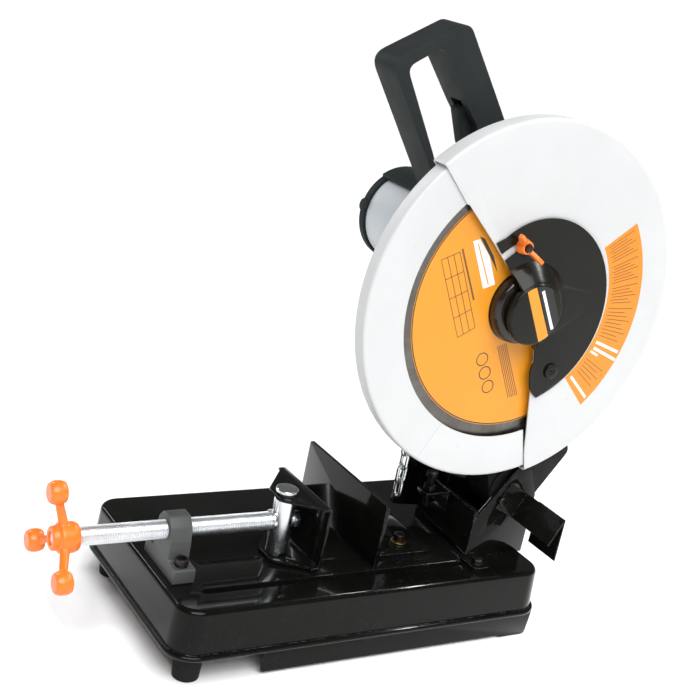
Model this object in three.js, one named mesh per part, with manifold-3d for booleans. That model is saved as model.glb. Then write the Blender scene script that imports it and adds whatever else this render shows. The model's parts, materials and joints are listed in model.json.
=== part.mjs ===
// Metal-cutting chop saw: a toothed 355 mm blade in a swinging head over a pressed-steel
// table with a screw vise and a swivelling fence.
//
// Millimetres, +Z up. X runs to the operator's right, towards the blade side. Y runs back
// from the vise handle to the upright. The table is drawn first, with Y = 0 at its front
// edge; the last lines move the whole saw so that its origin is the middle of its footprint.

import * as THREE from 'three';
import { mergeVertices } from 'three/addons/utils/BufferGeometryUtils.js';
import Module from 'manifold-3d';

const wasm = await Module();
wasm.setup();

// ---------------------------------------------------------------- driving dimensions

const GAP = 0.3;                 // between pieces that touch
const RAD = Math.PI / 180;

const TABLE = { width: 240, length: 436, top: 81, hem: 31.5, sheet: 3, corner: 24, draft: 2.5 };
const BLADE = { radius: 177.5, bore: 12.7, plate: 2.2, teeth: 36, x: 82.8 };

const ARBOR = { y: 338, z: 376 };          // spindle axis with the head up
const PIVOT = { y: 402, z: 158 };          // hinge of the head, on the upright
const MOTOR = { y: -40.3, z: 41.7 };       // motor axis, from the arbor

const GUARD = { radius: 193, sheet: 1.5, front: 91.5, back: 68.5, from: -73, to: 134.5 };
const RING = { radius: 187.8, sheet: 1.4, front: 89.4, back: 70.6, inner: 142.5, from: 125, to: 287 };

const SCREW = { x: 32, z: 123, radius: 9.5 };
const NUT_BLOCK = { front: 10, back: 32 };
const JAW = { y: 169, left: -26, right: 73, foot: 83, top: 153, sheet: 3 };
const JAW_PIN = { y: 140, radius: 10 };
const FENCE = { y: 235, left: -88, right: 77, top: 153, sheet: 4, back: 320 };
const FENCE_BOLT = { x: 35.5, y: 291.7 };
const FENCE_LOCK = { radius: 63.6, from: 176.1, swing: 45 };
const UPRIGHT = { near: 74, far: -28, plate: 5, front: 357, back: 436 };
const CHAIN = { x: 0, y: 303, z: 188.5, wire: 2, bend: 5, straight: 10.8 };

// ---------------------------------------------------------------- geometry helpers

function toSolid(geometry) {
  const bare = geometry.clone();
  bare.deleteAttribute('normal');
  bare.deleteAttribute('uv');
  const merged = mergeVertices(bare, 1e-4);
  return new wasm.Manifold(new wasm.Mesh({
    numProp: 3,
    vertProperties: new Float32Array(merged.attributes.position.array),
    triVerts: new Uint32Array(merged.index.array),
  }));
}

function toGeometry(solid) {
  const mesh = solid.getMesh();
  const geometry = new THREE.BufferGeometry();
  geometry.setAttribute('position', new THREE.BufferAttribute(mesh.vertProperties, 3));
  geometry.setIndex(new THREE.BufferAttribute(mesh.triVerts, 1));
  return geometry;
}

const join = (...solids) => solids.reduce((sum, solid) => sum.add(solid));
const cut = (body, ...tools) => tools.reduce((left, tool) => left.subtract(tool), body);

// A turned frame: local x, y, z of a flat shape become the named world axes.
const FRAMES = {
  X: new THREE.Matrix4().set(0, 0, 1, 0, 1, 0, 0, 0, 0, 1, 0, 0, 0, 0, 0, 1),   // shape in (y, z)
  Y: new THREE.Matrix4().set(0, 1, 0, 0, 0, 0, 1, 0, 1, 0, 0, 0, 0, 0, 0, 1),   // shape in (z, x)
  Z: new THREE.Matrix4(),                                                         // shape in (x, y)
};

// Extrudes a flat shape along an axis, from one coordinate to another.
function slab(axis, shape, from, to, curveSegments = 12) {
  const geometry = new THREE.ExtrudeGeometry(shape, {
    depth: to - from, bevelEnabled: false, curveSegments,
  });
  geometry.translate(0, 0, from);
  geometry.applyMatrix4(FRAMES[axis]);
  return toSolid(geometry);
}

// A corner list [a, b, radius] as a shape, with its corners rounded.
function rounded(corners, steps = 5) {
  const shape = new THREE.Shape();
  corners.forEach(([a, b, radius = 0], i) => {
    const before = corners[(i + corners.length - 1) % corners.length];
    const after = corners[(i + 1) % corners.length];
    const here = new THREE.Vector2(a, b);
    const back = new THREE.Vector2(before[0], before[1]).sub(here);
    const on = new THREE.Vector2(after[0], after[1]).sub(here);
    const room = 0.49 * Math.min(back.length(), on.length());
    back.normalize();
    on.normalize();
    const half = Math.acos(THREE.MathUtils.clamp(back.dot(on), -1, 1)) / 2;
    const reach = radius ? Math.min(room, radius / Math.tan(half)) : 0;
    const start = here.clone().addScaledVector(back, reach);
    const end = here.clone().addScaledVector(on, reach);
    for (let k = 0; k <= (radius ? steps : 0); k += 1) {
      const t = radius ? k / steps : 0;
      const p = start.clone().multiplyScalar((1 - t) ** 2)
        .addScaledVector(here, 2 * t * (1 - t))
        .addScaledVector(end, t ** 2);
      if (i === 0 && k === 0) shape.moveTo(p.x, p.y);
      else shape.lineTo(p.x, p.y);
    }
  });
  return shape;
}

// Part of a disc or annulus between two angles in degrees.
function sector(outer, inner, fromDeg, toDeg, steps = 32, centre = [0, 0]) {
  const shape = new THREE.Shape();
  const at = (radius, k) => {
    const angle = (fromDeg + (toDeg - fromDeg) * k / steps) * RAD;
    return [centre[0] + radius * Math.cos(angle), centre[1] + radius * Math.sin(angle)];
  };
  shape.moveTo(...at(outer, 0));
  for (let k = 1; k <= steps; k += 1) shape.lineTo(...at(outer, k));
  for (let k = steps; k >= 0; k -= 1) shape.lineTo(...at(inner, k));
  return shape;
}

function box(x0, x1, y0, y1, z0, z1) {
  const geometry = new THREE.BoxGeometry(x1 - x0, y1 - y0, z1 - z0);
  geometry.translate((x0 + x1) / 2, (y0 + y1) / 2, (z0 + z1) / 2);
  return toSolid(geometry);
}

// A cylinder, cone or hexagonal bar along an axis, at the other two coordinates in cyclic order:
// (y, z) for X, (z, x) for Y and (x, y) for Z.
function rod(axis, centre, radius, from, to, sides = 24, endRadius = radius) {
  const geometry = new THREE.CylinderGeometry(endRadius, radius, to - from, sides);
  geometry.rotateX(90 * RAD);
  geometry.translate(centre[0], centre[1], (from + to) / 2);
  geometry.applyMatrix4(FRAMES[axis]);
  return toSolid(geometry);
}

const tube = (axis, centre, outer, inner, from, to, sides = 24) => cut(
  rod(axis, centre, outer, from, to, sides),
  rod(axis, centre, inner, from - 1, to + 1, Math.max(sides, 20)),
);

// A hexagon-headed bolt pointing down -axis, its head resting on `seat`.
function bolt(axis, centre, shank, length, head, height, seat) {
  const washer = rod(axis, centre, head * 1.12, seat, seat + 1.4, 20);
  const hex = rod(axis, centre, head, seat + 1.4, seat + 1.4 + height, 6);
  const stem = rod(axis, centre, shank, seat - length, seat + 1, 14);
  return join(washer, hex, stem);
}

// A gear blank with straight-flanked teeth, its first tooth centred on `phase`.
function gearShape(teeth, module, phase, thin) {
  const shape = new THREE.Shape();
  const pitch = teeth * module / 2;
  const step = 360 / teeth;
  const levels = [[pitch - 1.2 * module, 0.64], [pitch + 0.9 * module, 0.2]];
  const corner = (k, level, side) => {
    const [radius, share] = levels[level];
    const angle = (phase + (k + side * share * thin / 2) * step) * RAD;
    return [radius * Math.cos(angle), radius * Math.sin(angle)];
  };
  for (let k = 0; k < teeth; k += 1) {
    for (const [level, side] of [[0, -1], [1, -1], [1, 1], [0, 1]]) {
      const p = corner(k, level, side);
      if (k === 0 && level === 0 && side === -1) shape.moveTo(...p);
      else shape.lineTo(...p);
    }
  }
  return shape;
}

// Stacks loops of points and closes both ends.
function loft(loops) {
  const count = loops[0].length;
  const positions = loops.flat(2);
  const index = [];
  for (let k = 0; k < loops.length - 1; k += 1) {
    for (let i = 0; i < count; i += 1) {
      const a = k * count + i;
      const b = k * count + (i + 1) % count;
      index.push(a, b, b + count, a, b + count, a + count);
    }
  }
  const cap = (start, flip) => {
    for (let i = 1; i < count - 1; i += 1) {
      const face = [start, start + i, start + i + 1];
      index.push(...(flip ? face.reverse() : face));
    }
  };
  cap(0, true);
  cap((loops.length - 1) * count, false);
  const geometry = new THREE.BufferGeometry();
  geometry.setAttribute('position', new THREE.Float32BufferAttribute(positions, 3));
  geometry.setIndex(index);
  const merged = mergeVertices(geometry, 1e-4);
  return new wasm.Manifold(new wasm.Mesh({
    numProp: 3,
    vertProperties: new Float32Array(merged.attributes.position.array),
    triVerts: new Uint32Array(merged.index.array),
  }));
}

// ---------------------------------------------------------------- the scene graph

const PAINT = {
  table: [0x14161a, 0.32, 0.4],
  castBlack: [0x1b1c1c, 0.55, 0.3],
  castGrey: [0x3c3e3e, 0.6, 0.4],
  guard: [0xe9eaeb, 0.4, 0.1],
  zinc: [0xc9ccd0, 0.3, 0.95],
  steel: [0x6a6862, 0.4, 0.9],
  bladeSteel: [0x5e5950, 0.4, 0.9],
  motorGrey: [0xc8cfd2, 0.45, 0.2],
  blackPlastic: [0x1d201e, 0.6, 0.0],
  orange: [0xfa7323, 0.4, 0.0],
  rubber: [0x161616, 0.85, 0.0],
  copper: [0xb06a3a, 0.4, 0.8],
};

const saw = new THREE.Group();
const station = new THREE.Group();
const head = new THREE.Group();
head.position.set(0, ARBOR.y, ARBOR.z);
saw.add(station, head);

function piece(group, name, solid, paint) {
  const [color, roughness, metalness] = PAINT[paint];
  const mesh = new THREE.Mesh(
    toGeometry(solid),
    new THREE.MeshStandardMaterial({ color, roughness, metalness }),
  );
  mesh.name = name;
  group.add(mesh);
}

// ---------------------------------------------------------------- table

// The rounded rectangle of the pressing, grown by `grow`, at one height.
function tableLoop(grow, z, steps = 5) {
  const halfX = TABLE.width / 2 + grow;
  const radius = TABLE.corner + grow;
  const points = [];
  const centres = [
    [halfX - radius, TABLE.length + grow - radius, 0],
    [radius - halfX, TABLE.length + grow - radius, 90],
    [radius - halfX, radius - grow, 180],
    [halfX - radius, radius - grow, 270],
  ];
  for (const [cx, cy, start] of centres) {
    for (let k = 0; k <= steps; k += 1) {
      const angle = (start + 90 * k / steps) * RAD;
      points.push([cx + radius * Math.cos(angle), cy + radius * Math.sin(angle), z]);
    }
  }
  return points;
}

const BLADE_SLOT = { x: 84, front: 34, back: 346, width: 9, depth: 8 };
const VISE_GROOVE = { x: 33, front: 52, back: 122, width: 7, depth: 2 };

// A long slot with round ends, in plan.
function slotShape({ x, front, back, width }, grow = 0) {
  const half = width / 2 + grow;
  return rounded([
    [x - half, front - grow, half * 0.98], [x + half, front - grow, half * 0.98],
    [x + half, back + grow, half * 0.98], [x - half, back + grow, half * 0.98],
  ], 4);
}

function makeTable() {
  const { top, hem, sheet, draft } = TABLE;
  const bead = 3;
  const shell = loft([
    tableLoop(draft, hem - 1.5),
    tableLoop(draft + bead, hem - 0.5),
    tableLoop(draft + bead + 0.8, hem + 2),
    tableLoop(draft + bead, hem + 4.5),
    tableLoop(draft - 0.3, hem + 5.5),
    tableLoop(0, top - 5),
    tableLoop(-1.2, top - 2),
    tableLoop(-4, top - 0.3),
    tableLoop(-6, top),
  ]);
  const inside = loft([
    tableLoop(draft - sheet, hem - 3),
    tableLoop(-sheet, top - 6),
    tableLoop(-sheet - 4, top - sheet),
  ]);
  const slot = slab('Z', slotShape(BLADE_SLOT), top - BLADE_SLOT.depth, top + 1);
  const trough = slab('Z', slotShape(BLADE_SLOT, 2.4), top - BLADE_SLOT.depth - 2.4, top - 1);
  const groove = slab('Z', slotShape(VISE_GROOVE), top - VISE_GROOVE.depth, top + 1);
  return cut(cut(shell, inside).add(trough), slot, groove);
}

piece(station, 'table', makeTable(), 'table');

const FOOT = { x: 99.4, front: 23, back: 412, radius: 14 };
const feet = [
  ['foot_front_left', -FOOT.x, FOOT.front], ['foot_front_right', FOOT.x, FOOT.front],
  ['foot_rear_left', -FOOT.x, FOOT.back], ['foot_rear_right', FOOT.x, FOOT.back],
];
const footTop = TABLE.top - TABLE.sheet - GAP;
for (const [name, x, y] of feet) {
  const skirt = rod('Z', [x, y], FOOT.radius, 0, 34, 24, FOOT.radius + 0.8);
  const post = rod('Z', [x, y], 9, 33, footTop, 16);
  piece(station, name, skirt.add(post), 'rubber');
}

// A stiffening plate along the blade side, hanging below the rolled hem.
const sidePlate = rounded([
  [95, 64], [95, 3, 4], [392, 3, 2], [396, 0.6, 2], [431, 0.6, 5], [434, 29], [402, 29], [402, 64],
], 3);
piece(station, 'side_plate', slab('X', sidePlate, 114.8, 117.2), 'table');

// ---------------------------------------------------------------- upright and hinge

const deck = TABLE.top + GAP;      // underside of what stands on the table

const nearCheek = rounded([
  [UPRIGHT.front, deck], [UPRIGHT.back, deck], [UPRIGHT.back, 152, 10],
  [420, 186, 14], [402, 186, 8], [UPRIGHT.front, 124],
], 5);

// The far cheek reaches forward and up past the spring, clear of the turning fence.
const farCheek = rounded([
  [UPRIGHT.front, deck], [UPRIGHT.back, deck], [UPRIGHT.back, 160, 12],
  [418, 200, 16], [338, 200, 10], [316, 100, 6], [UPRIGHT.front, 96, 4],
], 5);

const TAB_BOLT = { x: 95, y: 356 };
const STOP_BOLT = { x: 14, y: 335, shelf: 130, top: 157 };

function makeUpright() {
  const { near, far, plate, front, back } = UPRIGHT;
  const { shelf: shelfZ } = STOP_BOLT;
  const cheeks = slab('X', nearCheek, near - plate, near).add(slab('X', farCheek, far, far + plate));
  const webs = box(far + 1, near - 1, front, front + plate, deck, shelfZ + 6)
    .add(box(far + 1, near - 1, back - plate, back, deck, 122));
  const floor = box(far + 1, near - 1, front + 1, 430, deck, deck + plate);
  const tab = slab('Z', rounded([
    [near - 1, 346], [near + 32, 346, 6], [near + 32, 368, 6], [near - 1, 368],
  ], 4), deck, deck + 4);
  const shelf = box(STOP_BOLT.x - 9, STOP_BOLT.x + 9, STOP_BOLT.y - 9, front + 1, shelfZ, shelfZ + 5);
  const gusset = slab('X', rounded([
    [front + 1, shelfZ - 20], [front + 1, shelfZ + 1], [STOP_BOLT.y, shelfZ + 1],
  ]), STOP_BOLT.x + 6, STOP_BOLT.x + 9);
  const pinHole = rod('X', [PIVOT.y, PIVOT.z], 10 + GAP, far - 1, near + 1, 28);
  return cut(
    join(cheeks, webs, floor, tab, shelf, gusset),
    pinHole,
    rod('Z', [TAB_BOLT.x, TAB_BOLT.y], 4 + GAP, 60, 130, 16),
    rod('Z', [STOP_BOLT.x, STOP_BOLT.y], 4 + GAP, shelfZ - 9, shelfZ + 9, 16),
    rod('Z', [-12, 415], 4 + GAP, 60, 110, 16),
    rod('Z', [54, 415], 4 + GAP, 60, 110, 16),
  );
}

piece(station, 'upright_bracket', makeUpright(), 'table');
piece(station, 'upright_bolt_front',
  bolt('Z', [TAB_BOLT.x, TAB_BOLT.y], 4, 3.5, 6.5, 5, deck + 4 + GAP), 'zinc');
piece(station, 'upright_bolt_left', bolt('Z', [-12, 415], 4, 4.5, 6.5, 5, deck + 5 + GAP), 'zinc');
piece(station, 'upright_bolt_right', bolt('Z', [54, 415], 4, 4.5, 6.5, 5, deck + 5 + GAP), 'zinc');

const hinge = [PIVOT.y, PIVOT.z];
const shaftEnd = UPRIGHT.far - 12;
piece(station, 'pivot_shaft', rod('X', hinge, 10, shaftEnd, UPRIGHT.near, 28), 'zinc');
piece(station, 'pivot_nut',
  tube('X', hinge, 16, 10 + GAP, UPRIGHT.far - 9, UPRIGHT.far - GAP, 6), 'zinc');

// The adjustable stop for the lowest cut, with its locknut on the shelf.
const stopAt = [STOP_BOLT.x, STOP_BOLT.y];
piece(station, 'depth_stop_bolt', join(
  rod('Z', stopAt, 4, STOP_BOLT.shelf - 14, STOP_BOLT.top - 5, 16),
  rod('Z', stopAt, 7, STOP_BOLT.top - 6, STOP_BOLT.top, 6),
), 'zinc');
piece(station, 'depth_stop_locknut', tube('Z', stopAt, 7.2, 4 + GAP, STOP_BOLT.shelf + 5 + GAP,
  STOP_BOLT.shelf + 12, 6), 'zinc');

// The torsion spring that lifts the head, wound round the hinge shaft.
function makeSpring() {
  const turns = 6.5;
  const coil = 16.5;
  const from = -19;
  const to = 17;
  const points = [];
  points.push(new THREE.Vector3(from, PIVOT.y - coil, PIVOT.z - 34));
  const steps = 60;
  for (let k = 0; k <= steps; k += 1) {
    const angle = 180 * RAD + turns * 2 * Math.PI * k / steps;
    const x = from + (to - from) * k / steps;
    points.push(new THREE.Vector3(
      x, PIVOT.y + coil * Math.cos(angle), PIVOT.z + coil * Math.sin(angle)));
  }
  const wire = new THREE.Shape();
  wire.absarc(0, 0, 2, 0, 2 * Math.PI);
  return toSolid(new THREE.ExtrudeGeometry(wire, {
    steps: 76, curveSegments: 3, bevelEnabled: false,
    extrudePath: new THREE.CatmullRomCurve3(points, false, 'centripetal'),
  }));
}
piece(station, 'return_spring', makeSpring(), 'steel');

// The folded hood behind the blade that turns chips down. A flange holds it to the upright.
const HOOD = { crease: [423.6, 154.5], low: [408.8, 126.1], flange: [396.7, 168.8], right: 141 };

function strip([y0, z0], [y1, z1], thick) {
  const length = Math.hypot(y1 - y0, z1 - z0);
  const n = [-(z1 - z0) / length * thick, (y1 - y0) / length * thick];
  return rounded([[y0, z0], [y1, z1], [y1 + n[0], z1 + n[1]], [y0 + n[0], z0 + n[1]]]);
}

function makeHood() {
  const { crease, low, flange, right } = HOOD;
  const inner = UPRIGHT.near + GAP;
  const corner = [low[0] + flange[0] - crease[0], low[1] + flange[1] - crease[1]];
  const hold = slab('X', rounded([corner, low, crease, flange]), inner, inner + 1.6);
  const slope = slab('X', strip(low, crease, 1.6), inner, right);
  const drop = slab('X', rounded([
    [crease[0] - 1.6, 106.5], [crease[0], 106.5], [crease[0], crease[1] + 0.9],
    [crease[0] - 1.6, crease[1]],
  ]), 96, right);
  return join(hold, slope, drop);
}
piece(station, 'chip_deflector', makeHood(), 'table');
piece(station, 'deflector_screw',
  rod('X', [388, 148], 5.5, UPRIGHT.near + 1.6 + 2 * GAP, UPRIGHT.near + 5, 16, 4.5), 'zinc');

// ---------------------------------------------------------------- vise

function makeNutBlock() {
  const { x, z } = SCREW;
  const { front, back } = NUT_BLOCK;
  const post = slab('Y', rounded([
    [deck, x - 36, 3], [deck, x + 36, 3], [deck + 15, x + 36, 2], [deck + 16, x + 17, 3],
    [z - 6, x + 17.5, 3], [z + 8, x + 15, 7], [z + 17, x + 7, 7], [z + 17, x - 7, 7],
    [z + 8, x - 15, 7], [z - 6, x - 17.5, 3], [deck + 16, x - 17, 3], [deck + 15, x - 36, 2],
  ], 4), front, back);
  return cut(
    post,
    rod('Y', [z, x], SCREW.radius + GAP, front - 1, back + 1, 28),
    rod('Z', [x + 26, 21], 4 + GAP, 70, 110, 16),
    rod('Z', [x - 26, 21], 4 + GAP, 70, 110, 16),
  );
}
piece(station, 'vise_nut_block', makeNutBlock(), 'castGrey');
for (const [name, side] of [['nut_block_bolt_right', 1], ['nut_block_bolt_left', -1]]) {
  const at = [SCREW.x + 26 * side, 21];
  const seat = deck + 16 + GAP;
  const cap = rod('Z', at, 6.5, seat, seat + 8, 20);
  const socket = rod('Z', at, 3.4, seat + 4, seat + 9, 6);
  piece(station, name, cut(cap.add(rod('Z', at, 4, deck + 1, seat + 1, 14)), socket), 'castBlack');
}

const HANDLE_HUB = { front: -104, back: -78, radius: 15 };
const KNOB = { front: -111, reach: 47, radius: 11.5 };
const PIN_END = JAW_PIN.y - 13.5;          // where the screw's thread stops at the pin

piece(station, 'vise_screw', join(
  rod('Y', [SCREW.z, SCREW.x], SCREW.radius, HANDLE_HUB.back + GAP, PIN_END, 28),
  rod('Y', [SCREW.z, SCREW.x], 6.5, HANDLE_HUB.front + 2, HANDLE_HUB.back + 1, 20),
  rod('Y', [SCREW.z, SCREW.x], 5, PIN_END - 1, JAW_PIN.y + 19, 20),
), 'zinc');

// A three-lobed star: short barrels on spokes that run forward from a stepped hub.
function makeStarHandle() {
  const { front, back, radius } = HANDLE_HUB;
  const centre = [SCREW.z, SCREW.x];
  let star = join(
    rod('Y', centre, radius - 3, front, front + 8, 20, radius),
    rod('Y', centre, radius, front + 7, back, 20, radius - 1.5),
  );
  for (const angle of [0, 120, 240]) {
    const c = Math.cos(angle * RAD);
    const s = Math.sin(angle * RAD);
    const knob = [SCREW.z + KNOB.reach * c, SCREW.x + KNOB.reach * s];
    const spoke = rounded([
      [SCREW.z - 5.5 * s, SCREW.x + 5.5 * c], [SCREW.z + 5.5 * s, SCREW.x - 5.5 * c],
      [knob[0] + 4 * s, knob[1] - 4 * c], [knob[0] - 4 * s, knob[1] + 4 * c],
    ]);
    star = join(
      star,
      slab('Y', spoke, front + 0.5, front + 8),
      rod('Y', knob, KNOB.radius - 2, KNOB.front, KNOB.front + 8, 16, KNOB.radius),
      rod('Y', knob, KNOB.radius, KNOB.front + 8, KNOB.front + 16, 16, KNOB.radius - 2),
    );
  }
  return cut(star, rod('Y', centre, 6.5 + GAP, front - 1, back + 1, 20));
}
piece(station, 'vise_handle', makeStarHandle(), 'orange');

// The swivel pin on the screw's end carries the jaw between its necks; a nut keeps it there.
const swivel = [SCREW.x, JAW_PIN.y];
piece(station, 'jaw_pin', cut(
  join(
    rod('Z', swivel, JAW_PIN.radius + 1.5, 88.5, 147.5, 24),
    rod('Z', swivel, 6, 83.5, 156, 20),
    rod('Z', swivel, 12, 155, 158.5, 24, 10.8),
  ),
  rod('Y', [SCREW.z, SCREW.x], 5 + GAP, 120, 160, 20),
), 'zinc');
piece(station, 'screw_end_nut',
  tube('Y', [SCREW.z, SCREW.x], 9.5, 5 + GAP, JAW_PIN.y + 12, JAW_PIN.y + 18, 6), 'zinc');

// The self-aligning jaw: a plate with two triangular ears that close on the pin.
function makeJaw() {
  const { y, left, right, foot, top, sheet } = JAW;
  const ear = rounded([
    [left + 2, y + 1], [right - 2, y + 1],
    [SCREW.x + 14, JAW_PIN.y - 13, 9], [SCREW.x - 14, JAW_PIN.y - 13, 9],
  ], 4);
  const pinHole = rod('Z', swivel, 6 + GAP, foot - 2, top + 2, 24);
  const face = box(left, right, y, y + sheet, foot, top);
  const upper = slab('Z', ear, top - sheet, top);
  const lower = slab('Z', ear, foot, foot + sheet);
  return cut(join(face, upper, lower), pinHole);
}
piece(station, 'vise_jaw', makeJaw(), 'table');

// ---------------------------------------------------------------- fence

function makeFence() {
  const { y, left, right, top, sheet, back } = FENCE;
  const { radius, from, swing } = FENCE_LOCK;
  const face = slab('Y', rounded([
    [deck, left], [top, left, 3], [top, right, 3], [deck, right],
  ], 3), y, y + sheet);
  const foot = slab('Z', rounded([
    [left, y + 1], [right - 17, y + 1], [right - 17, back, 8], [left + 68, back, 8],
    [left, y + 27, 6],
  ], 4), deck, deck + sheet);
  const centre = [FENCE_BOLT.x, FENCE_BOLT.y];
  const slot = sector(radius + 4.6, radius - 4.6, from - 5, from + swing + 5, 10, centre);
  return cut(
    join(face, foot),
    rod('Z', centre, 4 + GAP, 60, 100, 16),
    slab('Z', slot, 60, 100),
  );
}
piece(station, 'fence', makeFence(), 'table');

const lockAt = [
  FENCE_BOLT.x + FENCE_LOCK.radius * Math.cos(FENCE_LOCK.from * RAD),
  FENCE_BOLT.y + FENCE_LOCK.radius * Math.sin(FENCE_LOCK.from * RAD),
];
const footTopZ = deck + FENCE.sheet + GAP;
piece(station, 'fence_pivot_bolt',
  bolt('Z', [FENCE_BOLT.x, FENCE_BOLT.y], 4, 4, 6.5, 6, footTopZ), 'zinc');
piece(station, 'fence_lock_bolt', bolt('Z', lockAt, 4, 4, 6.5, 6, footTopZ), 'copper');

// ---------------------------------------------------------------- arm (head frame)

const py = PIVOT.y - ARBOR.y;
const pz = PIVOT.z - ARBOR.z;
const HOUSING = { back: 22, front: 67.5, radius: 63, motorRadius: 55 };
const GEAR_AXIS = [0, 0];
const MOTOR_AXIS = [MOTOR.y, MOTOR.z];

const ARM_FRONT_EDGE = [[-8, -92], [py - 26, pz - 4]];

function makeArm() {
  const [edgeTopEnd, edgeLowEnd] = ARM_FRONT_EDGE;
  const web = slab('X', rounded([
    [...edgeLowEnd, 16], [py - 6, pz - 29, 14], [py + 30, pz - 24, 12], [py + 75, pz + 42, 10],
    [60, -40], [10, -30], [-30, -45, 6], [...edgeTopEnd, 20],
  ], 5), 30, 66);
  const boss = rod('X', [py, pz], 27, 22, 68, 32);
  const stopLug = slab('X', rounded([
    [30.7, -180.7, 3], [44, -169.1, 3], [21.7, -143.5, 3], [8.4, -155.1, 3],
  ], 3), 5, 31);
  const hollow = slab('X', rounded([
    [18, -150, 8], [62, -140, 8], [52, -88, 10], [8, -84, 10],
  ], 4), 60, 70);
  return cut(
    join(web, boss, stopLug),
    hollow,
    rod('X', [py, pz], 12.6 + GAP, 20, 70, 28),
    rod('X', GEAR_AXIS, HOUSING.radius + GAP, 10, 80, 40),
  );
}
piece(head, 'arm', makeArm(), 'castBlack');
piece(head, 'pivot_bush', tube('X', [py, pz], 12.6, 10 + GAP, 23, 67, 28), 'copper');

// The bracket that carries the hold-down chain, on the arm's front edge.
const hookY = CHAIN.y - ARBOR.y;
const hookZ = CHAIN.z - ARBOR.z;
function makeChainBracket() {
  const [edgeTopEnd, edgeLowEnd] = ARM_FRONT_EDGE;
  const run = [edgeLowEnd[0] - edgeTopEnd[0], edgeLowEnd[1] - edgeTopEnd[1]];
  const length = Math.hypot(...run);
  const along = (t, off) => [
    edgeTopEnd[0] + run[0] * t + run[1] / length * off,
    edgeTopEnd[1] + run[1] * t - run[0] / length * off,
  ];
  const foot = slab('X', rounded([
    along(0.3, GAP), along(0.66, GAP), along(0.66, 3.3), along(0.3, 3.3),
  ]), 34, 60);
  const plate = slab('X', rounded([
    along(0.3, 2), along(0.66, 2), [hookY + 1, hookZ - 7, 6], [hookY - 7, hookZ - 1, 6],
    [hookY - 4, hookZ + 7, 6],
  ], 4), 34, 38);
  const pin = rod('X', [hookY, hookZ], 2.5, -8, 35, 14);
  const keeper = rod('X', [hookY, hookZ], 6, -10, -7.9, 20);
  return join(foot, plate, pin, keeper);
}
piece(head, 'chain_bracket', makeChainBracket(), 'zinc');

// One link of round wire, standing in the plane across X or along it.
function makeLink(topZ, acrossX) {
  const { wire, bend, straight } = CHAIN;
  const points = [];
  const steps = 8;
  for (let k = 0; k <= steps; k += 1) {
    const a = Math.PI * k / steps;
    points.push([bend * Math.cos(a), bend * Math.sin(a) - bend]);
  }
  for (let k = 0; k <= steps; k += 1) {
    const a = Math.PI * (1 + k / steps);
    points.push([bend * Math.cos(a), bend * Math.sin(a) - bend - straight]);
  }
  const sides = 8;
  const count = points.length;
  const positions = [];
  const index = [];
  points.forEach(([u, w], i) => {
    const mid = w > -bend ? -bend : Math.max(w, -bend - straight);
    const out = new THREE.Vector2(u, w - mid).normalize();
    for (let s = 0; s < sides; s += 1) {
      const a = 2 * Math.PI * s / sides;
      const du = u + wire * Math.cos(a) * out.x;
      const dz = w + wire * Math.cos(a) * out.y + topZ;
      const side = wire * Math.sin(a);
      positions.push(...(acrossX ? [side, du, dz] : [du, -side, dz]));
      const next = (i + 1) % count;
      const turn = (s + 1) % sides;
      index.push(i * sides + s, next * sides + s, next * sides + turn);
      index.push(i * sides + s, next * sides + turn, i * sides + turn);
    }
  });
  const geometry = new THREE.BufferGeometry();
  geometry.setAttribute('position', new THREE.Float32BufferAttribute(positions, 3));
  geometry.setIndex(index);
  geometry.translate(CHAIN.x, hookY, hookZ);
  const mesh = new wasm.Mesh({
    numProp: 3,
    vertProperties: new Float32Array(geometry.attributes.position.array),
    triVerts: new Uint32Array(geometry.index.array),
  });
  const solid = new wasm.Manifold(mesh);
  return solid.volume() > 0 ? solid : insideOut(mesh);
}

function insideOut(mesh) {
  const flipped = new Uint32Array(mesh.triVerts);
  for (let i = 0; i < flipped.length; i += 3) {
    [flipped[i], flipped[i + 1]] = [flipped[i + 1], flipped[i]];
  }
  return new wasm.Manifold(new wasm.Mesh({
    numProp: 3, vertProperties: mesh.vertProperties, triVerts: flipped,
  }));
}

const linkPitch = CHAIN.straight + 2 * CHAIN.bend - 2 * CHAIN.wire - GAP;
for (let k = 0; k < 4; k += 1) {
  const topZ = 2.5 + CHAIN.wire + GAP - k * linkPitch;
  piece(head, `chain_link_${k + 1}`, makeLink(topZ, k % 2 === 0), 'zinc');
}

// ---------------------------------------------------------------- gearbox and motor

const NOSE = { radius: 33, front: 75 };
const BEARING = { outer: 20, inner: 12.5, width: 8 };

function makeGearbox() {
  const { back, front, radius, motorRadius } = HOUSING;
  const body = join(
    rod('X', GEAR_AXIS, radius, back, front, 36),
    rod('X', MOTOR_AXIS, motorRadius, back, front, 32),
    rod('X', GEAR_AXIS, NOSE.radius, front - 1, NOSE.front, 32),
  );
  const well = join(
    rod('X', GEAR_AXIS, 53.5, back + 14, front - 8, 32),
    rod('X', MOTOR_AXIS, 15, back + 14, front - 8, 28),
  );
  return cut(
    body,
    well,
    rod('X', MOTOR_AXIS, 13, back - 1, back + 20, 28),
    rod('X', GEAR_AXIS, BEARING.outer + GAP, front - 9, NOSE.front + 1, 32),
    rod('X', GEAR_AXIS, BEARING.outer + GAP, back + 3, back + 15, 32),
  );
}
piece(head, 'gearbox_housing', makeGearbox(), 'castGrey');

const MOTOR_TUBE = { back: -92, radius: 48, bore: 43 };
piece(head, 'motor_housing', tube('X', MOTOR_AXIS, MOTOR_TUBE.radius, MOTOR_TUBE.bore,
  MOTOR_TUBE.back, HOUSING.back - GAP, 36), 'motorGrey');

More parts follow.
